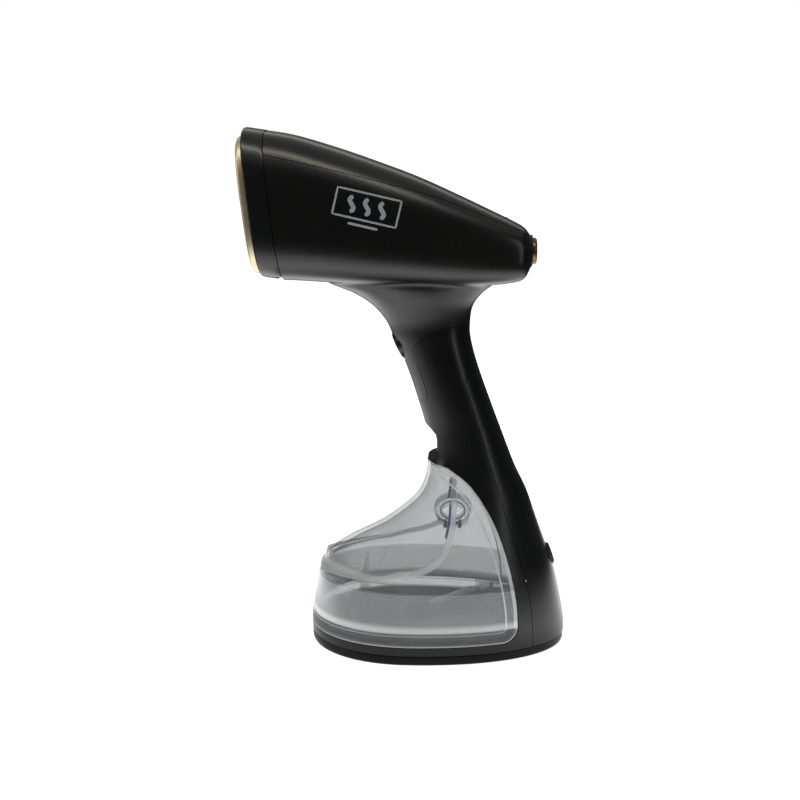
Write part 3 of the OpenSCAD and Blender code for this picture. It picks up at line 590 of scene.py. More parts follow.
    def rounded(self, width: float) -> "Piece":
        """Rounds the sharp edges."""
        return self.modify("BEVEL", width=width * MM, segments=3, limit_method="ANGLE",
                           angle_limit=math.radians(35.0), use_clamp_overlap=True,
                           harden_normals=False)

    def fused(self, voxel: float, passes: int) -> "Piece":
        """Melts the mesh into one even skin and evens it out."""
        self.modify("REMESH", mode="VOXEL", voxel_size=voxel * MM, adaptivity=0.0)
        return self.modify("SMOOTH", factor=0.5, iterations=passes)

    def smooth(self, degrees: float = 32.0) -> "Piece":
        """Shades smoothly except across sharp edges."""
        self.active()
        bpy.ops.object.shade_smooth_by_angle(angle=math.radians(degrees))
        return self

    def finished(self, body: Bodies, slot: str, material: bpy.types.Material, *nodes: str,
                 degrees: float = 32.0) -> "Piece":
        """Gives the piece its finish and its place in the frame.

        Args:
            body: the body that it rides on.
            slot: its material slot; not used.
            material: its finish.
            *nodes: the nodes that it stands for.
            degrees: edges sharper than this stay crisp.
        Returns:
            This piece.
        """
        self.smooth(degrees)
        self.obj.data.materials.clear()
        self.obj.data.materials.append(material)
        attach(self.obj, body.value)
        if nodes:
            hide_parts(*nodes)
        LOG.info("%s: %d faces", self.obj.name, len(self.obj.data.polygons))
        return self


def frame_at(origin: Sequence[float], axis: Sequence[float], side: Sequence[float] = (0, 1, 0)) -> Matrix:
    """A frame in millimetres.

    Args:
        origin: where it stands.
        axis: direction of its third axis.
        side: rough direction of its second axis.
    Returns:
        The matrix from that frame to the object's.
    """
    z = Vector(axis).normalized()
    x = Vector(side).cross(z).normalized()
    y = z.cross(x)
    place = Matrix((x, y, z)).transposed().to_4x4()
    place.translation = Vector(origin)
    return place


def place_ring(place: Matrix, radius: float, height: float, angles: np.ndarray) -> np.ndarray:
    """A circle about a frame's third axis.

    Args:
        place: the frame.
        radius: radius of the circle.
        height: where it lies on the axis.
        angles: the angles of its points.
    Returns:
        Rows of x, y and z.
    """
    flat = np.stack([radius * np.cos(angles), radius * np.sin(angles), np.full_like(angles, height)], 1)
    return flat @ np.array(place.to_3x3()).T + np.array(place.translation)


# ------------------------------------------------------------------ finishes


class Wire:
    """An output socket that can be used in sums."""

    def __init__(self, net: "Net", socket: bpy.types.NodeSocket) -> None:
        """Keeps the socket and its tree."""
        self.net = net
        self.socket = socket

    def __add__(self, other: "Wire | float") -> "Wire":
        """Sum."""
        return self.net.math("ADD", self, other)

    def __radd__(self, other: float) -> "Wire":
        """Sum, from the right."""
        return self.net.math("ADD", other, self)

    def __sub__(self, other: "Wire | float") -> "Wire":
        """Difference."""
        return self.net.math("SUBTRACT", self, other)

    def __rsub__(self, other: float) -> "Wire":
        """Difference, from the right."""
        return self.net.math("SUBTRACT", other, self)

    def __mul__(self, other: "Wire | float") -> "Wire":
        """Product."""
        return self.net.math("MULTIPLY", self, other)

    def __rmul__(self, other: float) -> "Wire":
        """Product, from the right."""
        return self.net.math("MULTIPLY", other, self)

    def __truediv__(self, other: "Wire | float") -> "Wire":
        """Quotient."""
        return self.net.math("DIVIDE", self, other)

    def __abs__(self) -> "Wire":
        """Size without its sign."""
        return self.net.math("ABSOLUTE", self, 0.0)

    def above(self, low: float, high: float) -> "Wire":
        """0 below the low value and 1 above the high one, smoothly."""
        return self.net.spread(self, low, high, 0.0, 1.0)


class Net:
    """The node tree of one finish."""

    def __init__(self, name: str) -> None:
        """Starts an empty material."""
        self.material = bpy.data.materials.new(name)
        self.material.use_nodes = True
        self.tree = self.material.node_tree
        self.tree.nodes.clear()
        self.coords = self.out("ShaderNodeTexCoord", {}, {}, "Object")

    def node(self, kind: str, settings: dict[str, object], sockets: dict[object, object]) -> bpy.types.Node:
        """Any node.

        Args:
            kind: its type.
            settings: its own settings.
            sockets: values or links by socket name or number.
        Returns:
            The node.
        """
        made = self.tree.nodes.new(kind)
        for key, value in settings.items():
            setattr(made, key, value)
        for key, value in sockets.items():
            if isinstance(value, Wire):
                self.tree.links.new(value.socket, made.inputs[key])
            else:
                made.inputs[key].default_value = value
        return made

    def out(self, kind: str, settings: dict[str, object], sockets: dict[object, object],
            name: object = 0) -> Wire:
        """One output of a new node."""
        return Wire(self, self.node(kind, settings, sockets).outputs[name])

    def math(self, operation: str, a: Wire | float, b: Wire | float) -> Wire:
        """A Math node."""
        return self.out("ShaderNodeMath", {"operation": operation}, {0: a, 1: b})

    def spread(self, value: Wire, low: float, high: float, to_low: float, to_high: float) -> Wire:
        """A value spread smoothly from one range over another."""
        return self.out("ShaderNodeMapRange", {"interpolation_type": "SMOOTHSTEP"},
                        {0: value, 1: low, 2: high, 3: to_low, 4: to_high})

    def stretched(self, scale: Place) -> Wire:
        """Object coordinates, scaled by axis."""
        return self.out("ShaderNodeMapping", {}, {0: self.coords, 3: scale})

    def noise(self, size: float, detail: float = 2.0, rough: float = 0.5, at: Wire | None = None) -> Wire:
        """Noise whose blots are about this many millimetres wide."""
        return self.out("ShaderNodeTexNoise", {}, {"Vector": at or self.coords, "Scale": 1 / (size * MM),
                                                   "Detail": detail, "Roughness": rough})

    def mixed(self, factor: Wire | float, a: Wire | Colour, b: Wire | Colour) -> Wire:
        """A colour between two."""
        pair = [c if isinstance(c, Wire) else (*c, 1.0) for c in (a, b)]
        return self.out("ShaderNodeMix", {"data_type": "RGBA"}, {0: factor, 6: pair[0], 7: pair[1]}, 2)

    def bump(self, height: Wire, depth: float, strength: float = 1.0) -> Wire:
        """A bump of this many millimetres."""
        return self.out("ShaderNodeBump", {}, {"Height": height, "Distance": depth * MM,
                                               "Strength": strength})

    def principled(self, sockets: dict[object, object]) -> Wire:
        """The main surface shader."""
        return self.out("ShaderNodeBsdfPrincipled", {}, sockets)

    def done(self, surface: Wire) -> bpy.types.Material:
        """Wires the surface to the output."""
        self.node("ShaderNodeOutputMaterial", {}, {"Surface": surface})
        return self.material


def shade(colour: Colour, factor: float) -> Colour:
    """A lighter or darker colour."""
    return tuple(min(c * factor, 1.0) for c in colour)


@dataclass(frozen=True)
class Moulded:
    """Moulded plastic or rubber with a fine tool texture."""

    name: str
    colour: Colour
    rough: float = 0.34
    grain: float = 0.35
    depth: float = 0.012
    drift: float = 0.05
    warmth: Colour = (1.0, 1.0, 1.0)
    specular: float = 0.32
    dust: float = 0.0

    def build(self) -> bpy.types.Material:
        """Makes the material."""
        net = Net(self.name)
        slow = net.noise(38.0, 3.0, 0.55)
        grain = net.noise(self.grain, 2.0, 0.6)
        flow = net.noise(7.0, 4.0, 0.6, net.stretched((1.0, 1.0, 0.35)))
        tone = tuple(c * w for c, w in zip(shade(self.colour, 1.22), self.warmth))
        base = net.mixed(slow.above(0.3, 0.7), shade(self.colour, 0.84), tone)
        base = net.mixed(grain.above(0.45, 0.75) * 0.35, base, shade(self.colour, 1.5))
        specks = net.noise(0.9, 1.0, 0.5).above(0.735, 0.76) * self.dust
        base = net.mixed(specks, base, (0.32, 0.31, 0.29))
        rough = (self.rough + (slow - 0.5) * self.drift * 2 + (flow - 0.5) * self.drift
                 + (grain - 0.5) * 0.1 + specks * 0.4)
        bump = net.bump(grain, self.depth)
        return net.done(net.principled({"Base Color": base, "Roughness": rough, "Normal": bump,
                                        "Specular IOR Level": self.specular}))


@dataclass(frozen=True)
class Metal:
    """Metal with a drawn, turned, cast or anodised surface."""

    name: str
    colour: Colour
    rough: float = 0.3
    line: float = 0.25
    stretch: Place = (1.0, 1.0, 1.0)
    depth: float = 0.004
    stain: Colour = (0.9, 0.85, 0.8)

    def build(self) -> bpy.types.Material:
        """Makes the material."""
        net = Net(self.name)
        along = net.stretched(self.stretch)
        lines = net.noise(self.line, 3.0, 0.65, along)
        blots = net.noise(14.0, 4.0, 0.6)
        tint = tuple(c * s for c, s in zip(self.colour, self.stain))
        base = net.mixed(blots.above(0.42, 0.72), self.colour, tint)
        base = net.mixed(lines.above(0.4, 0.8) * 0.3, base, shade(self.colour, 0.72))
        rough = self.rough + (lines - 0.5) * 0.16 + (blots - 0.5) * 0.14
        bump = net.bump(lines, self.depth)
        return net.done(net.principled({"Base Color": base, "Roughness": rough, "Normal": bump,
                                        "Metallic": 1.0}))


@dataclass(frozen=True)
class ClearPlastic:
    """Clear, slightly milky plastic whose rim and haze catch the light."""

    name: str
    colour: Colour
    through: Colour
    haze: float = 0.1
    rim: float = 0.5
    rough: float = 0.09
    cloud: float = 0.05

    def build(self) -> bpy.types.Material:
        """Makes the material."""
        net = Net(self.name)
        facing = net.out("ShaderNodeLayerWeight", {}, {"Blend": 0.32}, "Facing")
        slow = net.noise(26.0, 3.0, 0.55)
        ripple = net.noise(9.0, 2.0, 0.5, net.stretched((1.0, 1.0, 0.6)))
        fine = net.noise(1.4, 3.0, 0.6)
        base = net.mixed(slow.above(0.3, 0.7), shade(self.colour, 0.93), self.colour)
        rim = facing * facing * facing * self.rim
        solid = self.haze + rim + (slow - 0.5) * self.cloud * 2 + (fine - 0.5) * 0.02
        base, solid = self.veil(net, base, solid)
        rough = self.rough + fine.above(0.5, 0.8) * 0.08 + (slow - 0.5) * 0.06
        body = net.principled({"Base Color": base, "Roughness": rough, "IOR": 1.49,
                               "Normal": net.bump(ripple, 0.05, 0.4)})
        open_ = net.out("ShaderNodeBsdfTransparent", {}, {"Color": (*self.through, 1.0)})
        clamped = net.out("ShaderNodeClamp", {}, {0: solid, 1: 0.02, 2: 0.98})
        return net.done(net.out("ShaderNodeMixShader", {}, {0: clamped, 1: open_, 2: body}))

    def veil(self, net: Net, base: Wire, solid: Wire) -> tuple[Wire, Wire]:
        """Where painted light, shade and haze make the plastic paler, darker and hazier; nowhere, unless a
        kind says otherwise.

        Args:
            net: the tree of the finish.
            base: its colour so far.
            solid: how much it hides, so far.
        Returns:
            The colour and how much it hides.
        """
        return base, solid


@dataclass(frozen=True)
class TankPlastic(ClearPlastic):
    """Clear plastic with painted highlights along its thick rear edge, its fold and its inner edges, a
    painted dark line beside the fold at the back, a paler weld line and a hazier low part.
    """

    pale: Colour = (0.7, 0.715, 0.7)
    # slot is the colour of the painted dark line beside the fold, shade standing in for light bent away by
    # the clear ridge
    slot: Colour = (0.06, 0.09, 0.18)

    def veil(self, net: Net, base: Wire, solid: Wire) -> tuple[Wire, Wire]:
        """Painted highlights along the lines that the tank's mesh carries as distances in millimetres, where
        its thick edges and fold would catch the light, a painted dark line beside the fold, and a paler weld
        and hazier low part.
        """
        x, z = (net.out("ShaderNodeSeparateXYZ", {}, {0: net.coords}, axis) / MM for axis in "XZ")
        rim, fold, slot = (abs(net.out("ShaderNodeAttribute", {"attribute_name": name}, {}, "Fac"))
                           for name in ("rim_away", "fold_away", "dark_line_away"))
        over_weld = z.above(18.5, 19.0)
        upper = z.above(15.0, 22.0)
        # painted highlight along the thick rear edge, wider above the tray
        edge = (1.0 - rim.above(1.7, 2.2)) * upper + (1.0 - rim.above(0.5, 0.9)) * (1.0 - upper)
        # painted highlight along the fold
        fold_highlight = (1.0 - fold.above(1.2, 2.0)) * (1.0 - z.above(84.0, 88.0))
        weld = over_weld * (1.0 - z.above(20.4, 23.8))
        inner = abs(rim - 6.1)
        ledge = abs(z - 38.6)
        # painted highlights along the inner edge of the thick rim and along the ledge
        edge_line_highlight = (1.0 - inner.above(0.25, 0.6)) * (0.15 + upper * 0.3) + (1.0 - ledge.above(0.15, 0.4)) * 0.25
        low = over_weld * (1.0 - z.above(37.5, 39.0)) * 0.2
        front = over_weld * (1.0 - x.above(-47.0, -30.0)) * (1.0 - z.above(40.0, 50.0)) * 0.2
        # all that is paler: the painted highlights, the weld and the hazier low part
        pale = edge * 0.42 + fold_highlight * 0.36 + weld * 0.4 + edge_line_highlight + low + front
        # painted dark line beside the fold at the back
        dark = (1.0 - slot.above(0.4, 0.9)) * z.above(66.0, 68.0) * (1.0 - z.above(83.0, 86.0))
        base = net.mixed(net.out("ShaderNodeClamp", {}, {0: pale * 1.6}), base, self.pale)
        return net.mixed(dark, base, self.slot), solid + pale + dark * 0.6


@dataclass(frozen=True)
class Print:
    """Pad-printed ink, a little worn."""

    name: str
    colour: Colour

    def build(self) -> bpy.types.Material:
        """Makes the material."""
        net = Net(self.name)
        worn = net.noise(1.6, 4.0, 0.7)
        base = net.mixed(worn.above(0.5, 0.75) * 0.5, self.colour, shade(self.colour, 0.6))
        rough = 0.45 + (worn - 0.5) * 0.2
        return net.done(net.principled({"Base Color": base, "Roughness": rough,
                                        "Normal": net.bump(net.noise(0.3), 0.01)}))


FINISHES = (
    Moulded("black_shell", (0.002, 0.0023, 0.0021), 0.27, 0.4, 0.006, 0.04, (1.1, 1.04, 0.88), 0.5,
            dust=0.05),
    Moulded("black_trim", (0.0022, 0.0025, 0.0025), 0.27, 0.4, 0.005, 0.04, specular=0.5, dust=0.04),
    Moulded("black_grip", (0.0018, 0.0021, 0.002), 0.27, 0.4, 0.006, 0.04, specular=0.38, dust=0.05),
    Moulded("black_base", (0.0024, 0.0027, 0.003), 0.32, 0.45, 0.012, 0.05, specular=0.16, dust=0.08),
    Metal("champagne_plate", (0.66, 0.57, 0.39), 0.44, 0.5, (1.0, 0.2, 1.0), 0.003, (0.86, 0.74, 0.6)),
    Metal("copper_button", (0.2, 0.115, 0.065), 0.34, 0.4, (1.0, 1.0, 0.15), 0.003, (0.85, 0.74, 0.6)),
    Moulded("brown_ring", (0.042, 0.026, 0.017), 0.36, 0.4, 0.01),
    Moulded("silicone", (0.4, 0.07, 0.04), 0.6, 0.5, 0.02),
    Moulded("clear_silicone", (0.7, 0.7, 0.67), 0.42, 0.5, 0.01),
    Metal("cast_alloy", (0.62, 0.63, 0.64), 0.46, 0.6, (1.0, 1.0, 1.0), 0.03),
    Metal("steel_tube", (0.52, 0.49, 0.45), 0.3, 0.3, (0.2, 0.2, 1.0), 0.004, (0.85, 0.7, 0.5)),
    Metal("shield_steel", (0.64, 0.64, 0.65), 0.3, 0.3, (1.0, 0.15, 1.0)),
    Metal("screw_steel", (0.58, 0.58, 0.6), 0.34, 0.25),
    Metal("spring_steel", (0.6, 0.6, 0.61), 0.26, 0.2),
    Metal("brass_nozzle", (0.75, 0.57, 0.26), 0.26, 0.25),
    Moulded("ceramic_fuse", (0.75, 0.73, 0.67), 0.5, 0.3, 0.02),
    Moulded("switch_black", (0.02, 0.02, 0.021), 0.45, 0.4, 0.02),
    Moulded("board_green", (0.02, 0.11, 0.045), 0.35, 1.2, 0.02),
    ClearPlastic("clear_lens", (0.85, 0.88, 0.9), (0.85, 0.9, 0.95), 0.35, 0.5, 0.12),
    Moulded("white_nylon", (0.62, 0.64, 0.64), 0.48, 0.5, 0.02),
    Metal("coil_copper", (0.5, 0.2, 0.09), 0.32, 0.3, (1.0, 1.0, 0.2)),
    Moulded("black_rubber", (0.012, 0.012, 0.0125), 0.6, 0.4, 0.02),
    ClearPlastic("clear_tank", (0.5, 0.52, 0.54), (0.88, 0.885, 0.885), 0.08, 0.4, 0.09, 0.03),
    ClearPlastic("grey_cap", (0.5, 0.52, 0.55), (0.88, 0.89, 0.9), 0.12, 0.4, 0.2, 0.03),
)


class Finishes:
    """All finishes by slot."""

    def __init__(self) -> None:
        """Builds every finish once."""
        self.by_slot = {finish.name: finish.build() for finish in FINISHES}
        self.ink = Print("print_grey", (0.36, 0.38, 0.41)).build()
        # the tank's finish, with painted highlights along its edges and fold and a painted dark line beside
        # the fold
        self.tank = TankPlastic("clear_tank_painted_edges", (0.47, 0.51, 0.57), (0.815, 0.825, 0.825), 0.13, 0.8,
                                0.1, 0.03).build()

    def __getitem__(self, slot: str) -> bpy.types.Material:
        """The material of a slot."""
        return self.by_slot[slot]

    def dress_frame(self, frame: dict) -> None:
        """Gives every carried-over node the finish of its slot."""
        for row in frame["record"]["subparts"]:
            node = frame["nodes"][row["node"]]
            node.data.materials.clear()
            node.data.materials.append(self[row["material_slot"]])


# ------------------------------------------------------------------ sub-assemblies


@dataclass
class Shells:
    """Head, top cover, grip and rear cover, cut from one smooth form."""

    form: SteamerForm
    finishes: Finishes
    voxel: float = 0.95
    passes: int = 7
    power_at: Place = (65.6, 0.0, 216.2)
    power_hole_r: float = 8.6
    trigger_at: Point = (-3.3, 165.6)
    trigger_lean: float = 26.0
    trigger_r: float = 8.0
    lens_x: float = 51.5
    lens_r: float = 1.9
    release_at: Point = (17.9, 112.4)
    gland_at: Point = (79.4, 49.2)
    gland_lean: float = 20.0
    gland_r: float = 6.1
    spigot_r: float = 5.2
    light_rib: tuple[Place, Place] = ((64, 13.6, 28), (75.8, 14.6, 44))

    def trigger_frame(self) -> Matrix:
        """Frame of the trigger, its third axis out of the grip."""
        lean = math.radians(self.trigger_lean)
        return frame_at((self.trigger_at[0], 0, self.trigger_at[1]), (-math.cos(lean), 0, -math.sin(lean)))

    def gland_frame(self) -> Matrix:
        """Frame of the cord gland, its third axis out of the back."""
        lean = math.radians(self.gland_lean)
        return frame_at((self.gland_at[0], 0, self.gland_at[1]), (math.cos(lean), 0, math.sin(lean)))

    def hull(self) -> Piece:
        """Head and body as one even skin."""
        head = Piece.loft("hull", self.form.head_rings(0.0))
        body = self.form.body_rings(inset=0.0, low=0.0, high=self.form.neck_top)
        head.meet(Piece.loft("body_hull", body), Blend.ADD)
        return head.fused(self.voxel, self.passes)

    def cored(self, inset: float, low: float, high: float, with_head: bool) -> Piece:
        """The space inside the walls.

        Args:
            inset: thickness of the walls.
            low: height where it starts.
            high: height where it ends.
            with_head: adds the space inside the head.
        Returns:
            The new piece.
        """
        core = Piece.loft("core", self.form.body_rings(inset, low, high))
        if with_head:
            core.meet(Piece.loft("head_core", self.form.head_rings(inset)), Blend.ADD)
        return core

    def trigger_hole(self) -> Piece:
        """Opening for the trigger and its frame."""
        return Piece.lathe("hole", [(9.0, 6.0), (9.0, -6.0), (9.8, -6.0), (9.8, -14.0)],
                           self.trigger_frame())

    def build(self) -> None:
        """Makes the four shells."""
        form, skin = self.form, self.hull()
        head = skin.copied("head_housing")
        head.meet(Piece.prism("side", form.head_region()), Blend.KEEP)
        top = head.copied("head_top_cover")
        core = self.cored(form.wall, low=120.0, high=form.neck_top, with_head=True)
        head.meet(core, Blend.CUT, keep_tool=True)
        head.meet(Piece.prism("side", form.above_crease(-form.seam / 2)), Blend.CUT)
        bore = frame_at((self.power_at[0] - 6, 0, self.power_at[2]), (1, 0, 0))
        head.meet(Piece.lathe("bore", [(self.power_hole_r, 0), (self.power_hole_r, 14)], bore), Blend.CUT)
        head.meet(self.trigger_hole(), Blend.CUT)
        head.finished(Bodies.HOUSING, "black_shell", self.finishes["black_shell"], "head_housing")
        top.meet(core, Blend.CUT)
        top.meet(Piece.prism("side", form.above_crease(form.seam / 2)), Blend.KEEP)
        lens = frame_at((self.lens_x, 0, 230), (0, 0, 1), (1, 0, 0))
        top.meet(Piece.lathe("bore", [(self.lens_r, 0), (self.lens_r, 20)], lens, 32), Blend.CUT)
        top.finished(Bodies.HOUSING, "black_shell", self.finishes["black_shell"], "head_top_cover")
        self.grip(skin)
        self.steam_mark(head)

    def grip(self, grip: Piece) -> None:
        """Makes the grip shell and its rear cover out of the skin.

        Args:
            grip: the whole skin, which becomes the grip shell.
        """
        form = self.form
        grip.obj.name = "handle_shell"
        grip.meet(Piece.prism("side", form.handle_region()), Blend.KEEP)
        rear = grip.copied("rear_cover")
        core = self.cored(form.wall, low=-1.0, high=184.0, with_head=False)
        rear.meet(Piece.prism("side", form.rear_region(form.seam)), Blend.KEEP)
        rear.meet(core, Blend.CUT, keep_tool=True)
        gland = self.gland_frame()
        rear.meet(Piece.lathe("bore", [(self.gland_r, -8), (self.gland_r, 8)], gland), Blend.CUT)
        # a rib behind the front seam keeps light from showing through it
        rear.meet(Piece.block("rib", *self.light_rib), Blend.ADD)
        rear.finished(Bodies.HOUSING, "black_grip", self.finishes["black_grip"], "rear_cover")
        core.meet(Piece.prism("bay", form.tank_region(form.tank_gap + form.wall)), Blend.CUT)
        core.meet(Piece.prism("bay", outset(form.notch(), form.wall)), Blend.CUT)
        core.meet(Piece.block("slab", (-60, -60, form.deck_z - 2), (54, 60, form.deck_z + 6)), Blend.CUT)
        core.meet(Piece.prism("front", [(-40, 130), (11.9 + form.wall, 136), (8 + form.wall, 154),
                                        (3 + form.wall, 168), (-40, 168)]), Blend.CUT)
        grip.meet(core, Blend.CUT)
        grip.meet(Piece.prism("bay", form.tank_region(form.tank_gap)), Blend.CUT)
        grip.meet(Piece.prism("notch", form.notch()), Blend.CUT)
        grip.meet(self.trigger_hole(), Blend.CUT)
        grip.meet(Piece.prism("rear", form.rear_region()), Blend.CUT)
        valve = frame_at((55, 0, form.valve_z), (1, 0, 0))
        grip.meet(Piece.lathe("bore", [(self.spigot_r, 0), (self.spigot_r, 14)], valve), Blend.CUT)
        x, z = self.release_at
        grip.meet(Piece.block("slot", (x - 4, -6.9, z - 4.6), (x + 5, 6.9, z + 4.6)), Blend.CUT)
        grip.finished(Bodies.HOUSING, "black_shell", self.finishes["black_grip"], "handle_shell")

    def steam_mark(self, head: Piece) -> None:
        """Prints three wavy lines in a frame, with a rule below, on the side of the head.

        Args:
            head: the shell that the print lies on.
        """
        mid = Vector((-18.6, 240.2))
        slope = math.radians(-13.0)
        strokes: list[Callable[[float], Point]] = []
        for k in (-1, 0, 1):
            strokes.append(lambda t, k=k: (7.8 * k + 1.3 * math.sin(2 * math.pi * t), 8.2 * (t - 0.5)))
        for k in (-1, 1):
            strokes.append(lambda t, k=k: (32.6 * (t - 0.5), 6.7 * k))
            strokes.append(lambda t, k=k: (16.3 * k, 14.2 * (t - 0.5)))
        strokes.append(lambda t: (15.6 * (t - 0.5), -9.6))
        parts = []
        for index, stroke in enumerate(strokes):
            half = (1.1, 0.5, 0.62)[(index >= 3) + (index >= 7)]
            parts.append(self.ribbon(f"stroke_{index}", stroke, half, mid, slope, head))
        mark = parts[0].joined(parts[1:])
        mark.obj.name = "steam_mark"
        mark.modify("SOLIDIFY", thickness=0.06 * MM, offset=1.0)
        mark.finished(Bodies.HOUSING, "black_trim", self.finishes.ink)

    @staticmethod
    def ribbon(name: str, stroke: Callable[[float], Point], half: float, mid: Vector, slope: float,
               head: Piece) -> Piece:
        """One printed stroke, laid on the head.

        Args:
            name: name of the piece.
            stroke: its middle line from 0 to 1, in its own plane.
            half: half its width.
            mid: middle of the mark, x and z.
            slope: turn of the mark.
            head: the shell under it.
        Returns:
            The stroke.
        """
        steps, across = 44, 3
        Piece.clear()
        bpy.ops.mesh.primitive_grid_add(x_subdivisions=steps, y_subdivisions=across, size=1)
        piece = Piece(name)
        rows = []
        c, s = math.cos(slope), math.sin(slope)
        for j in range(across + 1):
            for i in range(steps + 1):
                t = i / steps
                here, ahead = Vector(stroke(t)), Vector(stroke(t + 0.01))
                run = (ahead - here).normalized()
                end = math.sqrt(max(1 - max(abs(2 * t - 1) * 1.08 - 0.08, 0) ** 14, 0.02))
                flat = here + Vector((-run.y, run.x)) * half * end * (2 * j / across - 1)
                x = mid.x + c * flat.x - s * flat.y
                z = mid.y + s * flat.x + c * flat.y
                hit, spot, _, _ = head.obj.ray_cast(Vector((x, -60, z)) * MM, Vector((0, 1, 0)))
                rows.append((x * MM, spot.y - 0.04 * MM if hit else -0.033, z * MM))
        piece.obj.data.vertices.foreach_set("co", np.array(rows, np.float32).ravel())
        piece.edit()
        piece.face_out()
        if piece.obj.data.polygons[0].normal.y > 0:
            piece.obj.data.flip_normals()
        return piece


@dataclass
class SteamFace:
    """Collar and steam plate at the front of the head."""

    form: SteamerForm
    finishes: Finishes
    plate_wide: float = 30.4
    plate_up: float = 34.6
    plate_down: float = 36.8
    proud: float = 3.6
    hole_r: float = 1.3
    outer_holes: int = 12
    inner_holes: int = 8

    def outer(self, u: float, inset: float) -> np.ndarray:
        """Ring on the collar's outside."""
        f = self.form
        return f.face_ring(u, f.head_half - inset, f.collar_up - inset, f.collar_down - inset,
                           f.collar_sink * u / f.face_deep)

    def plate(self, u: float, inset: float) -> np.ndarray:
        """Ring on the steam plate."""
        return self.form.face_ring(u, self.plate_wide - inset, self.plate_up - inset,
                                   self.plate_down - inset)

    def collar(self) -> None:
        """Makes the collar with its slot at the bottom."""
        back = self.form.face_deep - self.form.seam
        rings = [self.plate(0.5, -0.3), self.plate(0.0, -0.75), self.outer(0.0, 1.3), self.outer(0.12, 0.75),
                 self.outer(0.45, 0.3), self.outer(1.0, 0.06), self.outer(1.8, 0.0), self.outer(5.0, 0.0),
                 self.outer(8.0, 0.0), self.outer(back - 0.5, 0.0), self.outer(back - 0.12, 0.12),
                 self.outer(back, 0.5), self.outer(back, 2.6), self.outer(4.6, 3.6),
                 self.outer(3.4, 3.6), self.plate(3.3, -0.3)]
        collar = Piece.loft("front_collar", np.array(rings), capped=False)
        tilt = frame_at((self.form.face_mid[0], 0, self.form.face_mid[1]), self.up_axis())
        low = -self.form.collar_down - self.form.collar_sink - 1.0
        slot = Piece.block("slot", (self.form.face_deep - 3.8, -21.0, low - 3),
                           (self.form.face_deep + 1.2, 21.0, low + 3.8), tilt)
        collar.meet(slot, Blend.CUT)
        collar.finished(Bodies.HOUSING, "black_trim", self.finishes["black_trim"], "front_collar")

    def up_axis(self) -> tuple[float, float, float]:
        """Direction up along the plate."""
        tilt = math.radians(self.form.face_tilt)
        return (-math.sin(tilt), 0.0, math.cos(tilt))

    def hole(self, wide: float, high: float, angle: float) -> Piece:
        """A flared steam hole at an angle on an oval."""
        spot = self.form.on_face(-self.proud - 0.2, np.array([wide * math.cos(angle)]),
                                 np.array([high * math.sin(angle)]))[0]
        up = Vector(self.up_axis())
        inward = Vector((0, 1, 0)).cross(up)
        place = frame_at(spot, inward)
        r = self.hole_r
        return Piece.lathe("hole", [(r + 0.75, -0.4), (r + 0.75, 0.2), (r + 0.3, 0.5), (r, 0.95), (r, 6.0)],
                           place, 28)

    def steam_plate(self) -> None:
        """Makes the plate with its rounded rim, raised field and steam holes."""
        p = self.proud
        rings = [self.plate(3.0, 0.0), self.plate(1.0, 0.0), self.plate(-p + 1.6, 0.0),
                 self.plate(-p + 1.0, 0.12), self.plate(-p + 0.5, 0.42), self.plate(-p + 0.16, 0.95),
                 self.plate(-p + 0.02, 1.6), self.plate(-p, 2.4), self.plate(-p, 6.0),
                 self.plate(-p + 0.12, 6.4), self.plate(-p + 0.3, 6.6), self.plate(-p + 0.3, 8.4),
                 self.plate(-p + 0.12, 8.6), self.plate(-p, 9.0), self.plate(-p, 14.0),
                 self.plate(-p, 22.0), self.plate(-p, 28.0)]
        plate = Piece.loft("steam_plate", np.array(rings))
        plate.meet(Piece.loft("recess", np.array([self.plate(-0.6, 6.0), self.plate(5.0, 6.0)])), Blend.CUT)
        n, m = self.outer_holes, self.inner_holes
        holes = [self.hole(19.5, 25.0, math.tau * (i + 0.5) / n) for i in range(n)]
        holes += [self.hole(11.0, 14.5, math.tau * i / m) for i in range(m)]
        centre = self.hole(0.0, 0.0, 0.0)
        plate.meet(centre.joined(holes), Blend.CUT)
        plate.finished(Bodies.HOUSING, "champagne_plate", self.finishes["champagne_plate"], "steam_plate",
                       degrees=24.0)

    def build(self) -> None:
        """Makes both."""
        self.collar()
        self.steam_plate()


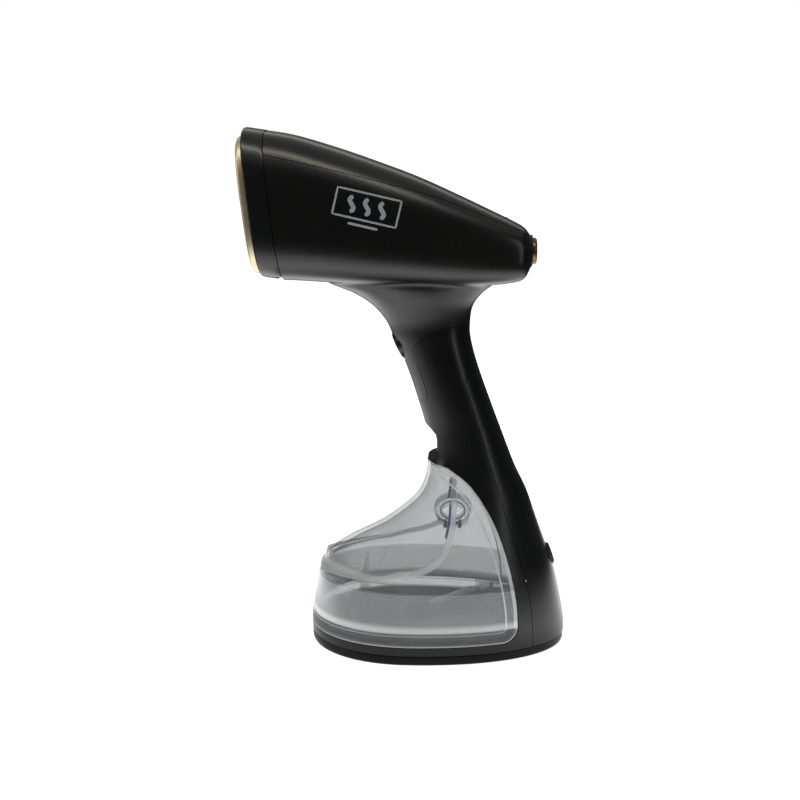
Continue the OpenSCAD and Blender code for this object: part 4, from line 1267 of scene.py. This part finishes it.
@dataclass
class Controls:
    """Power button, trigger, release button and cord gland."""

    shells: Shells
    finishes: Finishes
    power_r: float = 7.0

    def power(self) -> None:
        """Makes the button with its dished cap and the ring round it."""
        x, _, z = self.shells.power_at
        place = frame_at((x, 0, z), (1, 0, 0))
        r = self.power_r - 0.05
        cap = Piece.lathe("power_button", [(1.6, -9), (1.6, -4.4), (r + 0.9, -4.4), (r + 0.9, -3.0),
                                           (r, -3.0), (r, 1.9), (r - 0.1, 2.4), (r - 0.4, 2.85),
                                           (r - 0.9, 3.12), (r - 1.5, 3.2), (r - 2.6, 3.14),
                                           (r - 3.2, 3.02), (r - 4.6, 2.86), (1.2, 2.8), (0.3, 2.8)],
                          place, 96)
        cap.finished(Bodies.POWER, "copper_button", self.finishes["copper_button"], "power_button")
        a, b = self.power_r + 1.5, self.power_r
        profile = [(b, -2.9), (a, -2.9), (a, 0.4), (a - 0.15, 0.75), (a - 0.45, 0.9), (b + 0.35, 0.9),
                   (b + 0.08, 0.75), (b, 0.5)]
        ring = Piece.hoop("power_ring", profile, place)
        ring.finished(Bodies.HOUSING, "brown_ring", self.finishes["brown_ring"], "power_ring")

    def trigger(self) -> None:
        """Makes the dished trigger and the frame that it slides in."""
        place = self.shells.trigger_frame()
        r = self.shells.trigger_r
        key = Piece.lathe("steam_trigger", [(1.5, -8.6), (1.5, -7.0), (r - 1.6, -7.0), (r - 1.6, -7.4),
                                            (r + 1.2, -7.4), (r + 1.2, -5.9), (r, -5.9), (r, 0.3),
                                            (r - 0.18, 0.8), (r - 0.6, 1.25), (r - 1.2, 1.45),
                                            (r - 2.0, 1.38), (r - 4.0, 1.2), (r - 6.0, 1.1), (0.6, 1.07)],
                          place, 96)
        key.finished(Bodies.TRIGGER, "black_trim", self.finishes["black_trim"], "steam_trigger")
        profile = [(r + 0.05, -5.8), (r + 0.9, -5.8), (r + 0.9, -0.85), (r + 0.75, -0.6), (r + 0.2, -0.6),
                   (r + 0.05, -0.8)]
        guide = Piece.hoop("trigger_frame", profile, place)
        guide.finished(Bodies.HOUSING, "black_trim", self.finishes["black_trim"], "trigger_frame")

    def release(self) -> None:
        """Makes the ribbed release button."""
        x, z = self.shells.release_at
        body = Piece.block("release_button", (x - 0.9, -6.6, z - 4.3), (x + 5.1, 6.6, z + 4.3), bevel=0.5)
        body.meet(Piece.block("flange", (x + 3.6, -8.2, z - 5.4), (x + 5.1, 8.2, z + 5.4)), Blend.ADD)
        for i in (-1, 0, 1):
            groove = Piece.block("groove", (x - 1.6, -5.0, z + i * 2.4 - 0.5),
                                 (x - 0.3, 5.0, z + i * 2.4 + 0.5), bevel=0.2)
            body.meet(groove, Blend.CUT)
        body.finished(Bodies.RELEASE, "black_trim", self.finishes["black_trim"], "release_button")

    def gland(self) -> None:
        """Makes the rubber gland with its open bore."""
        place = self.shells.gland_frame()
        profile = [(3.6, -7.4), (7.4, -7.4), (7.4, -4.4), (6.0, -4.4), (6.0, 0.6), (5.9, 0.9), (5.6, 1.25),
                   (5.2, 1.5), (4.7, 1.6), (4.1, 1.55), (3.75, 1.35), (3.6, 1.0)]
        gland = Piece.hoop("cord_gland", profile, place)
        gland.finished(Bodies.HOUSING, "black_rubber", self.finishes["black_rubber"], "cord_gland")

    def build(self) -> None:
        """Makes them all."""
        self.power()
        self.trigger()
        self.release()
        self.gland()


@dataclass
class Base:
    """Base plate and its feet."""

    form: SteamerForm
    finishes: Finishes
    proud: float = 0.8
    foot_r: float = 6.0
    screws: tuple[Point, ...] = ((-36, 0), (22, 34), (22, -34), (72, 0))
    feet: tuple[Point, ...] = ((-30, 24), (-30, -24), (58, 22), (58, -22))

    def build(self) -> None:
        """Makes the plate and the four feet."""
        f = self.form
        station = (0, f.side_front, 88.4, 3, f.base_half)
        top = f.base_z - f.seam
        steps = ((self.proud, 8.0), (self.proud, 2.4), (self.proud + 0.1, 1.6), (self.proud + 0.5, 0.9),
                 (self.proud + 1.1, 0.5), (self.proud + 1.9, 0.35), (top - 0.5, 0.35), (top - 0.12, 0.5),
                 (top, 0.85), (top, 3.6), (3.8, 3.6), (3.8, 9.0))
        rings = []
        for z, inset in steps:
            ring = f.body_ring(station, inset)
            ring[:, 2] = z
            rings.append(ring)
        plate = Piece.loft("base_plate", np.array(rings))
        up = (0, 0, 1)
        holes = []
        for x, y in self.screws:
            holes.append(Piece.lathe("hole", [(3.4, -1), (3.4, 2.4), (1.8, 2.4), (1.8, 8)],
                                     frame_at((x, y, 0), up, (1, 0, 0)), 40))
        for x, y in self.feet:
            holes.append(Piece.lathe("hole", [(self.foot_r + 0.1, -1), (self.foot_r + 0.1, 2.2)],
                                     frame_at((x, y, 0), up, (1, 0, 0)), 64))
        plate.meet(holes[0].joined(holes[1:]), Blend.CUT)
        plate.finished(Bodies.HOUSING, "black_base", self.finishes["black_base"], "base_plate")
        for i, (x, y) in enumerate(self.feet):
            r = self.foot_r
            profile = [(r - 1.6, 0.5), (r - 1.4, 0.1), (r - 1.1, 0.0), (r - 0.5, 0.02), (r - 0.15, 0.18),
                       (r, 0.5), (r, 2.2)]
            foot = Piece.lathe(f"foot_{i + 1}", profile, frame_at((x, y, 0), up, (1, 0, 0)), 72)
            foot.finished(Bodies.HOUSING, "black_rubber", self.finishes["black_rubber"], f"foot_{i + 1}")


@dataclass
class Tank:
    """Clear tank with its tray, weld flange and fill cap."""

    form: SteamerForm
    finishes: Finishes
    wall: float = 1.8
    rim_wall: float = 3.1
    rim_wide: float = 6.2
    weld_z: float = 19.0
    weld_gap: float = 0.1
    valve_hole_r: float = 7.05
    fill_at: Place = (26.0, 30.2, 63.0)
    fill_lean: float = 24.0
    fill_r: float = 7.5
    # points of the fold, along which the tank's finish paints a highlight
    fold: tuple[Point, ...] = ((-60, 46), (-36, 45.8), (-22, 45.3), (-12, 45.7), (-1.6, 48.2), (11.2, 51.2),
                               (20.4, 57.6), (24.8, 67.4), (26.2, 80), (26.6, 93))
    # points of the line where the tank's finish paints a dark line of shade beside the fold
    slot: tuple[Point, ...] = ((24.4, 92), (24.6, 84), (24.0, 75), (22.2, 66.5))

    def body(self, inset: float) -> Piece:
        """The tank's form, drawn in by the inset."""
        return Piece.loft("tank_form", self.form.tank_rings(inset))

    def measured(self, piece: Piece) -> None:
        """Notes on the mesh how far each point is from the tank's rear edge, its fold and the painted dark
        line beside the fold.

        Args:
            piece: a finished piece of the tank.
        """
        mesh = piece.obj.data
        count = len(mesh.vertices)
        spot = np.zeros(count * 3, np.float32)
        mesh.vertices.foreach_get("co", spot)
        spot = spot.reshape(-1, 3)[:, (0, 2)] / MM
        lines = {"rim_away": self.form.tank_region()[2:], "fold_away": smooth_path(self.fold, 6),
                 "dark_line_away": smooth_path(self.slot, 6)}
        for name, line in lines.items():
            away = np.full(count, 1e3)
            for a, b in zip(np.array(line[:-1]), np.array(line[1:])):
                run = b - a
                t = np.clip(((spot - a) @ run) / max(run @ run, 1e-9), 0.0, 1.0)
                gap = spot - a - t[:, None] * run
                near = np.linalg.norm(gap, axis=1)
                side = np.where(run[0] * gap[:, 1] - run[1] * gap[:, 0] < 0, -1.0, 1.0)
                away = np.where(near < np.abs(away), near * side, away)
            layer = mesh.attributes.new(name, "FLOAT", "POINT")
            layer.data.foreach_set("value", away.astype(np.float32))

    def fill_frame(self) -> Matrix:
        """Frame of the fill neck, its third axis out of the tank."""
        lean = math.radians(self.fill_lean)
        return frame_at(self.fill_at, (0, math.cos(lean), math.sin(lean)),
                        (0, math.sin(lean), -math.cos(lean)))

    def hollow(self) -> Piece:
        """The whole tank in one, with its thick rear edge, its weld flange and its valve hole."""
        form = self.form
        full = self.body(0.0)
        full.meet(Piece.prism("side", form.tank_region()), Blend.KEEP)
        core = self.body(self.wall)
        core.meet(Piece.prism("side", form.tank_region(-self.rim_wide)), Blend.KEEP)
        rim = self.body(self.rim_wall)
        rim.meet(Piece.prism("side", form.tank_region(-self.wall)), Blend.KEEP)
        core.meet(rim, Blend.ADD)
        flange = full.copied("flange")
        flange.meet(Piece.block("slab", (-100, -60, self.weld_z - 1.4), (100, 60, self.weld_z + 1.5)),
                    Blend.KEEP)
        inner = form.tank_ring(self.weld_z, self.wall + 2.0)
        hole = np.array([inner + np.array([0, 0, -3.0]), inner + np.array([0, 0, 3.0])])
        flange.meet(Piece.loft("hole", hole), Blend.CUT)
        full.meet(core, Blend.CUT)
        full.meet(flange, Blend.ADD)
        valve = frame_at((49, 0, form.valve_z), (1, 0, 0))
        full.meet(Piece.lathe("bore", [(self.valve_hole_r, 0), (self.valve_hole_r, 20)], valve), Blend.CUT)
        return full

    def mouth(self, shell: Piece, place: Matrix) -> None:
        """Opens the shell for the fill neck, its cap and the hinge.

        Args:
            shell: the upper part of the tank.
            place: frame of the fill neck.
        """
        r = self.fill_r
        shell.meet(Piece.lathe("mouth", [(r + 2.1, -6), (r + 2.1, 20)], place), Blend.CUT)
        shell.meet(Piece.lathe("seat", [(r + 3.6, 1.9), (r + 3.6, 6)], place), Blend.CUT)
        gaps = (((-5.3, r + 1.5, 1.5), (-3.1, r + 6.7, 9.5)),
                ((3.1, r + 1.5, 1.5), (5.3, r + 6.7, 9.5)),
                ((-3, r + 1, 2.4), (3, r + 7.4, 10.4)))
        for low, high in gaps:
            shell.meet(Piece.block("hinge_gap", low, high, place), Blend.CUT)

    def build(self) -> None:
        """Makes the shell, the tray and the cap."""
        shell = self.hollow()
        tray = shell.copied("tank_tray")
        below, above = self.weld_z - self.weld_gap, self.weld_z + self.weld_gap
        tray.meet(Piece.block("below", (-100, -60, 0), (100, 60, below)), Blend.KEEP)
        shell.obj.name = "tank_shell"
        shell.meet(Piece.block("above", (-100, -60, above), (100, 60, 130)), Blend.KEEP)
        place = self.fill_frame()
        self.mouth(shell, place)
        for piece, node in ((shell, "tank_shell"), (tray, "tank_tray")):
            piece.finished(Bodies.TANK, "clear_tank", self.finishes.tank, node, degrees=40.0)
            self.measured(piece)
        self.cap(place)

    def cap(self, place: Matrix) -> None:
        """Makes the cap with its finger tab, plug and hinge eye."""
        r = self.fill_r
        cap = Piece.lathe("fill_cap", [(r - 1.3, -0.6), (r - 0.9, -0.2), (r - 0.9, 4.0), (r + 3.0, 4.0),
                                       (r + 3.2, 4.2), (r + 3.2, 5.2), (r + 3.0, 5.5), (r + 2.5, 5.6),
                                       (r + 1.6, 5.6), (r + 1.2, 5.3), (r, 5.25), (1.0, 5.25)], place, 96)
        cap.meet(Piece.block("tab", (-2.8, -r - 4.6, 4.05), (2.8, -r - 0.2, 5.55), place, 0.35), Blend.ADD)
        eye = Piece.block("eye", (-2.8, r + 1.0, 4.05), (2.8, r + 5.4, 5.55), place, 0.2)
        axis = frame_at((-2.8, r + 5, 4.2), (1, 0, 0))
        barrel = Piece.lathe("barrel", [(1.4, 0), (1.6, 0.2), (1.6, 5.4), (1.4, 5.6)], place @ axis, 40)
        cap.meet(eye, Blend.ADD)
        cap.meet(barrel, Blend.ADD)
        bore = frame_at((-4, r + 5, 4.2), (1, 0, 0))
        cap.meet(Piece.lathe("bore", [(0.85, 0), (0.85, 8)], place @ bore, 32), Blend.CUT)
        cap.finished(Bodies.CAP, "grey_cap", self.finishes["grey_cap"], "fill_cap")


# ------------------------------------------------------------------ floor, light and camera


@dataclass
class Studio:
    """Pale floor, soft light and the camera."""

    distance: float = 0.650
    elevation: float = 12.0
    azimuth: float = 2.5
    lens: float = 53.8
    aim: Place = (-0.0033, 0.0, 0.1352)
    lamps_aim: Place = (0, 0, 0.14)
    pool: float = 0.52
    glow: float = 2.2

    def floor(self) -> None:
        """Lays the floor, white paper to the camera and a bright pool in the dark to reflections."""
        Piece.clear()
        bpy.ops.mesh.primitive_plane_add(size=60.0)
        floor = Piece("studio_floor")
        net = Net("floor_paper")
        tone = net.mixed(net.noise(60.0, 3.0).above(0.3, 0.7), (0.86, 0.86, 0.86), (0.89, 0.89, 0.89))
        paper = {"Base Color": tone, "Roughness": 0.9, "Specular IOR Level": 0.2}
        seen = net.principled({**paper, "Emission Color": (1, 1, 1, 1), "Emission Strength": 0.98})
        away = net.out("ShaderNodeVectorMath", {"operation": "LENGTH"}, {0: net.coords}, "Value")
        # the glowing pool is a hidden lamp for reflections; it is dimmer within 0.15 m of the middle, a
        # painted contact shadow that keeps the base dark
        pool = net.spread(away, 0.16, self.pool, 1.0, 0.0) * net.spread(away, 0.07, 0.15, 0.4, 1.0)
        glow = net.out("ShaderNodeEmission", {}, {"Color": net.mixed(pool, (0.02, 0.02, 0.02), (1, 1, 1)),
                                                  "Strength": self.glow})
        eye = net.out("ShaderNodeLightPath", {}, {}, "Is Camera Ray")
        floor.obj.data.materials.append(net.done(net.out("ShaderNodeMixShader", {},
                                                         {0: eye, 1: glow, 2: seen})))

    def lamp(self, name: str, at: Place, size: Point, watts: float, tint: Colour = (1, 1, 1)) -> None:
        """Hangs one soft light.

        Args:
            name: its name.
            at: where it hangs, in metres.
            size: its width and height.
            watts: its power.
            tint: its colour.
        """
        data = bpy.data.lights.new(name, "AREA")
        data.shape = "RECTANGLE"
        data.size, data.size_y = size
        data.energy = watts
        data.color = tint
        lamp = bpy.data.objects.new(name, data)
        lamp.location = at
        lamp.rotation_euler = (Vector(self.lamps_aim) - Vector(at)).to_track_quat("-Z", "Y").to_euler()
        bpy.context.scene.collection.objects.link(lamp)

    def daylight(self, name: str, strength: float, spread: float) -> None:
        """Lights the whole floor evenly from above.

        Args:
            name: name of the light.
            strength: its strength.
            spread: how wide it is in the sky, in degrees.
        """
        data = bpy.data.lights.new(name, "SUN")
        data.energy = strength
        data.angle = math.radians(spread)
        bpy.context.scene.collection.objects.link(bpy.data.objects.new(name, data))

    def sky(self) -> None:
        """A white surround for the eye that lights the object only a little."""
        world = bpy.data.worlds.new("surround")
        world.use_nodes = True
        tree = world.node_tree
        tree.nodes.clear()
        path = tree.nodes.new("ShaderNodeLightPath")
        seen = tree.nodes.new("ShaderNodeBackground")
        seen.inputs["Color"].default_value = (1, 1, 1, 1)
        seen.inputs["Strength"].default_value = 1.0
        felt = tree.nodes.new("ShaderNodeBackground")
        felt.inputs["Color"].default_value = (0.95, 0.98, 1.0, 1)
        felt.inputs["Strength"].default_value = 0.08
        mix = tree.nodes.new("ShaderNodeMixShader")
        out = tree.nodes.new("ShaderNodeOutputWorld")
        tree.links.new(path.outputs["Is Camera Ray"], mix.inputs[0])
        tree.links.new(felt.outputs[0], mix.inputs[1])
        tree.links.new(seen.outputs[0], mix.inputs[2])
        tree.links.new(mix.outputs[0], out.inputs[0])
        bpy.context.scene.world = world

    def camera(self) -> None:
        """Places the camera."""
        el, az = math.radians(self.elevation), math.radians(self.azimuth)
        back = Vector((math.sin(az) * math.cos(el), -math.cos(az) * math.cos(el), math.sin(el)))
        data = bpy.data.cameras.new("camera")
        data.lens = self.lens
        data.sensor_width = 36.0
        data.clip_start = 0.05
        camera = bpy.data.objects.new("camera", data)
        camera.location = Vector(self.aim) + back * self.distance
        camera.rotation_euler = (-back).to_track_quat("-Z", "Y").to_euler()
        bpy.context.scene.collection.objects.link(camera)
        bpy.context.scene.camera = camera

    def build(self) -> None:
        """Sets up the studio."""
        self.floor()
        self.sky()
        warm = (1.0, 0.98, 0.82)
        self.lamp("back_strip", (-0.1, 0.85, 0.8), (1.5, 0.22), 1.3, warm)
        self.lamp("front_strip", (-0.1, -0.42, 1.36), (1.5, 0.2), 5.6, warm)
        self.lamp("left_panel", (-1.1, -0.3, 0.5), (0.5, 1.2), 4.0)
        self.lamp("right_strip", (0.75, -0.55, 0.35), (0.1, 0.6), 0.5)
        self.daylight("floor_wash", 0.5, 100.0)
        self.camera()
        view = bpy.context.scene.view_settings
        view.view_transform = "Standard"
        view.look = "None"


def main() -> None:
    """Builds the steamer's pieces in order and logs each one as it is built."""
    logging.basicConfig(level=logging.INFO, format="%(message)s")
    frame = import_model()
    finishes = Finishes()
    finishes.dress_frame(frame)
    form = SteamerForm()
    shells = Shells(form, finishes)
    for part in (shells, SteamFace(form, finishes), Controls(shells, finishes), Base(form, finishes),
                 Tank(form, finishes), Studio()):
        part.build()
        LOG.info("built %s", type(part).__name__)


if __name__ == "__main__":
    main()
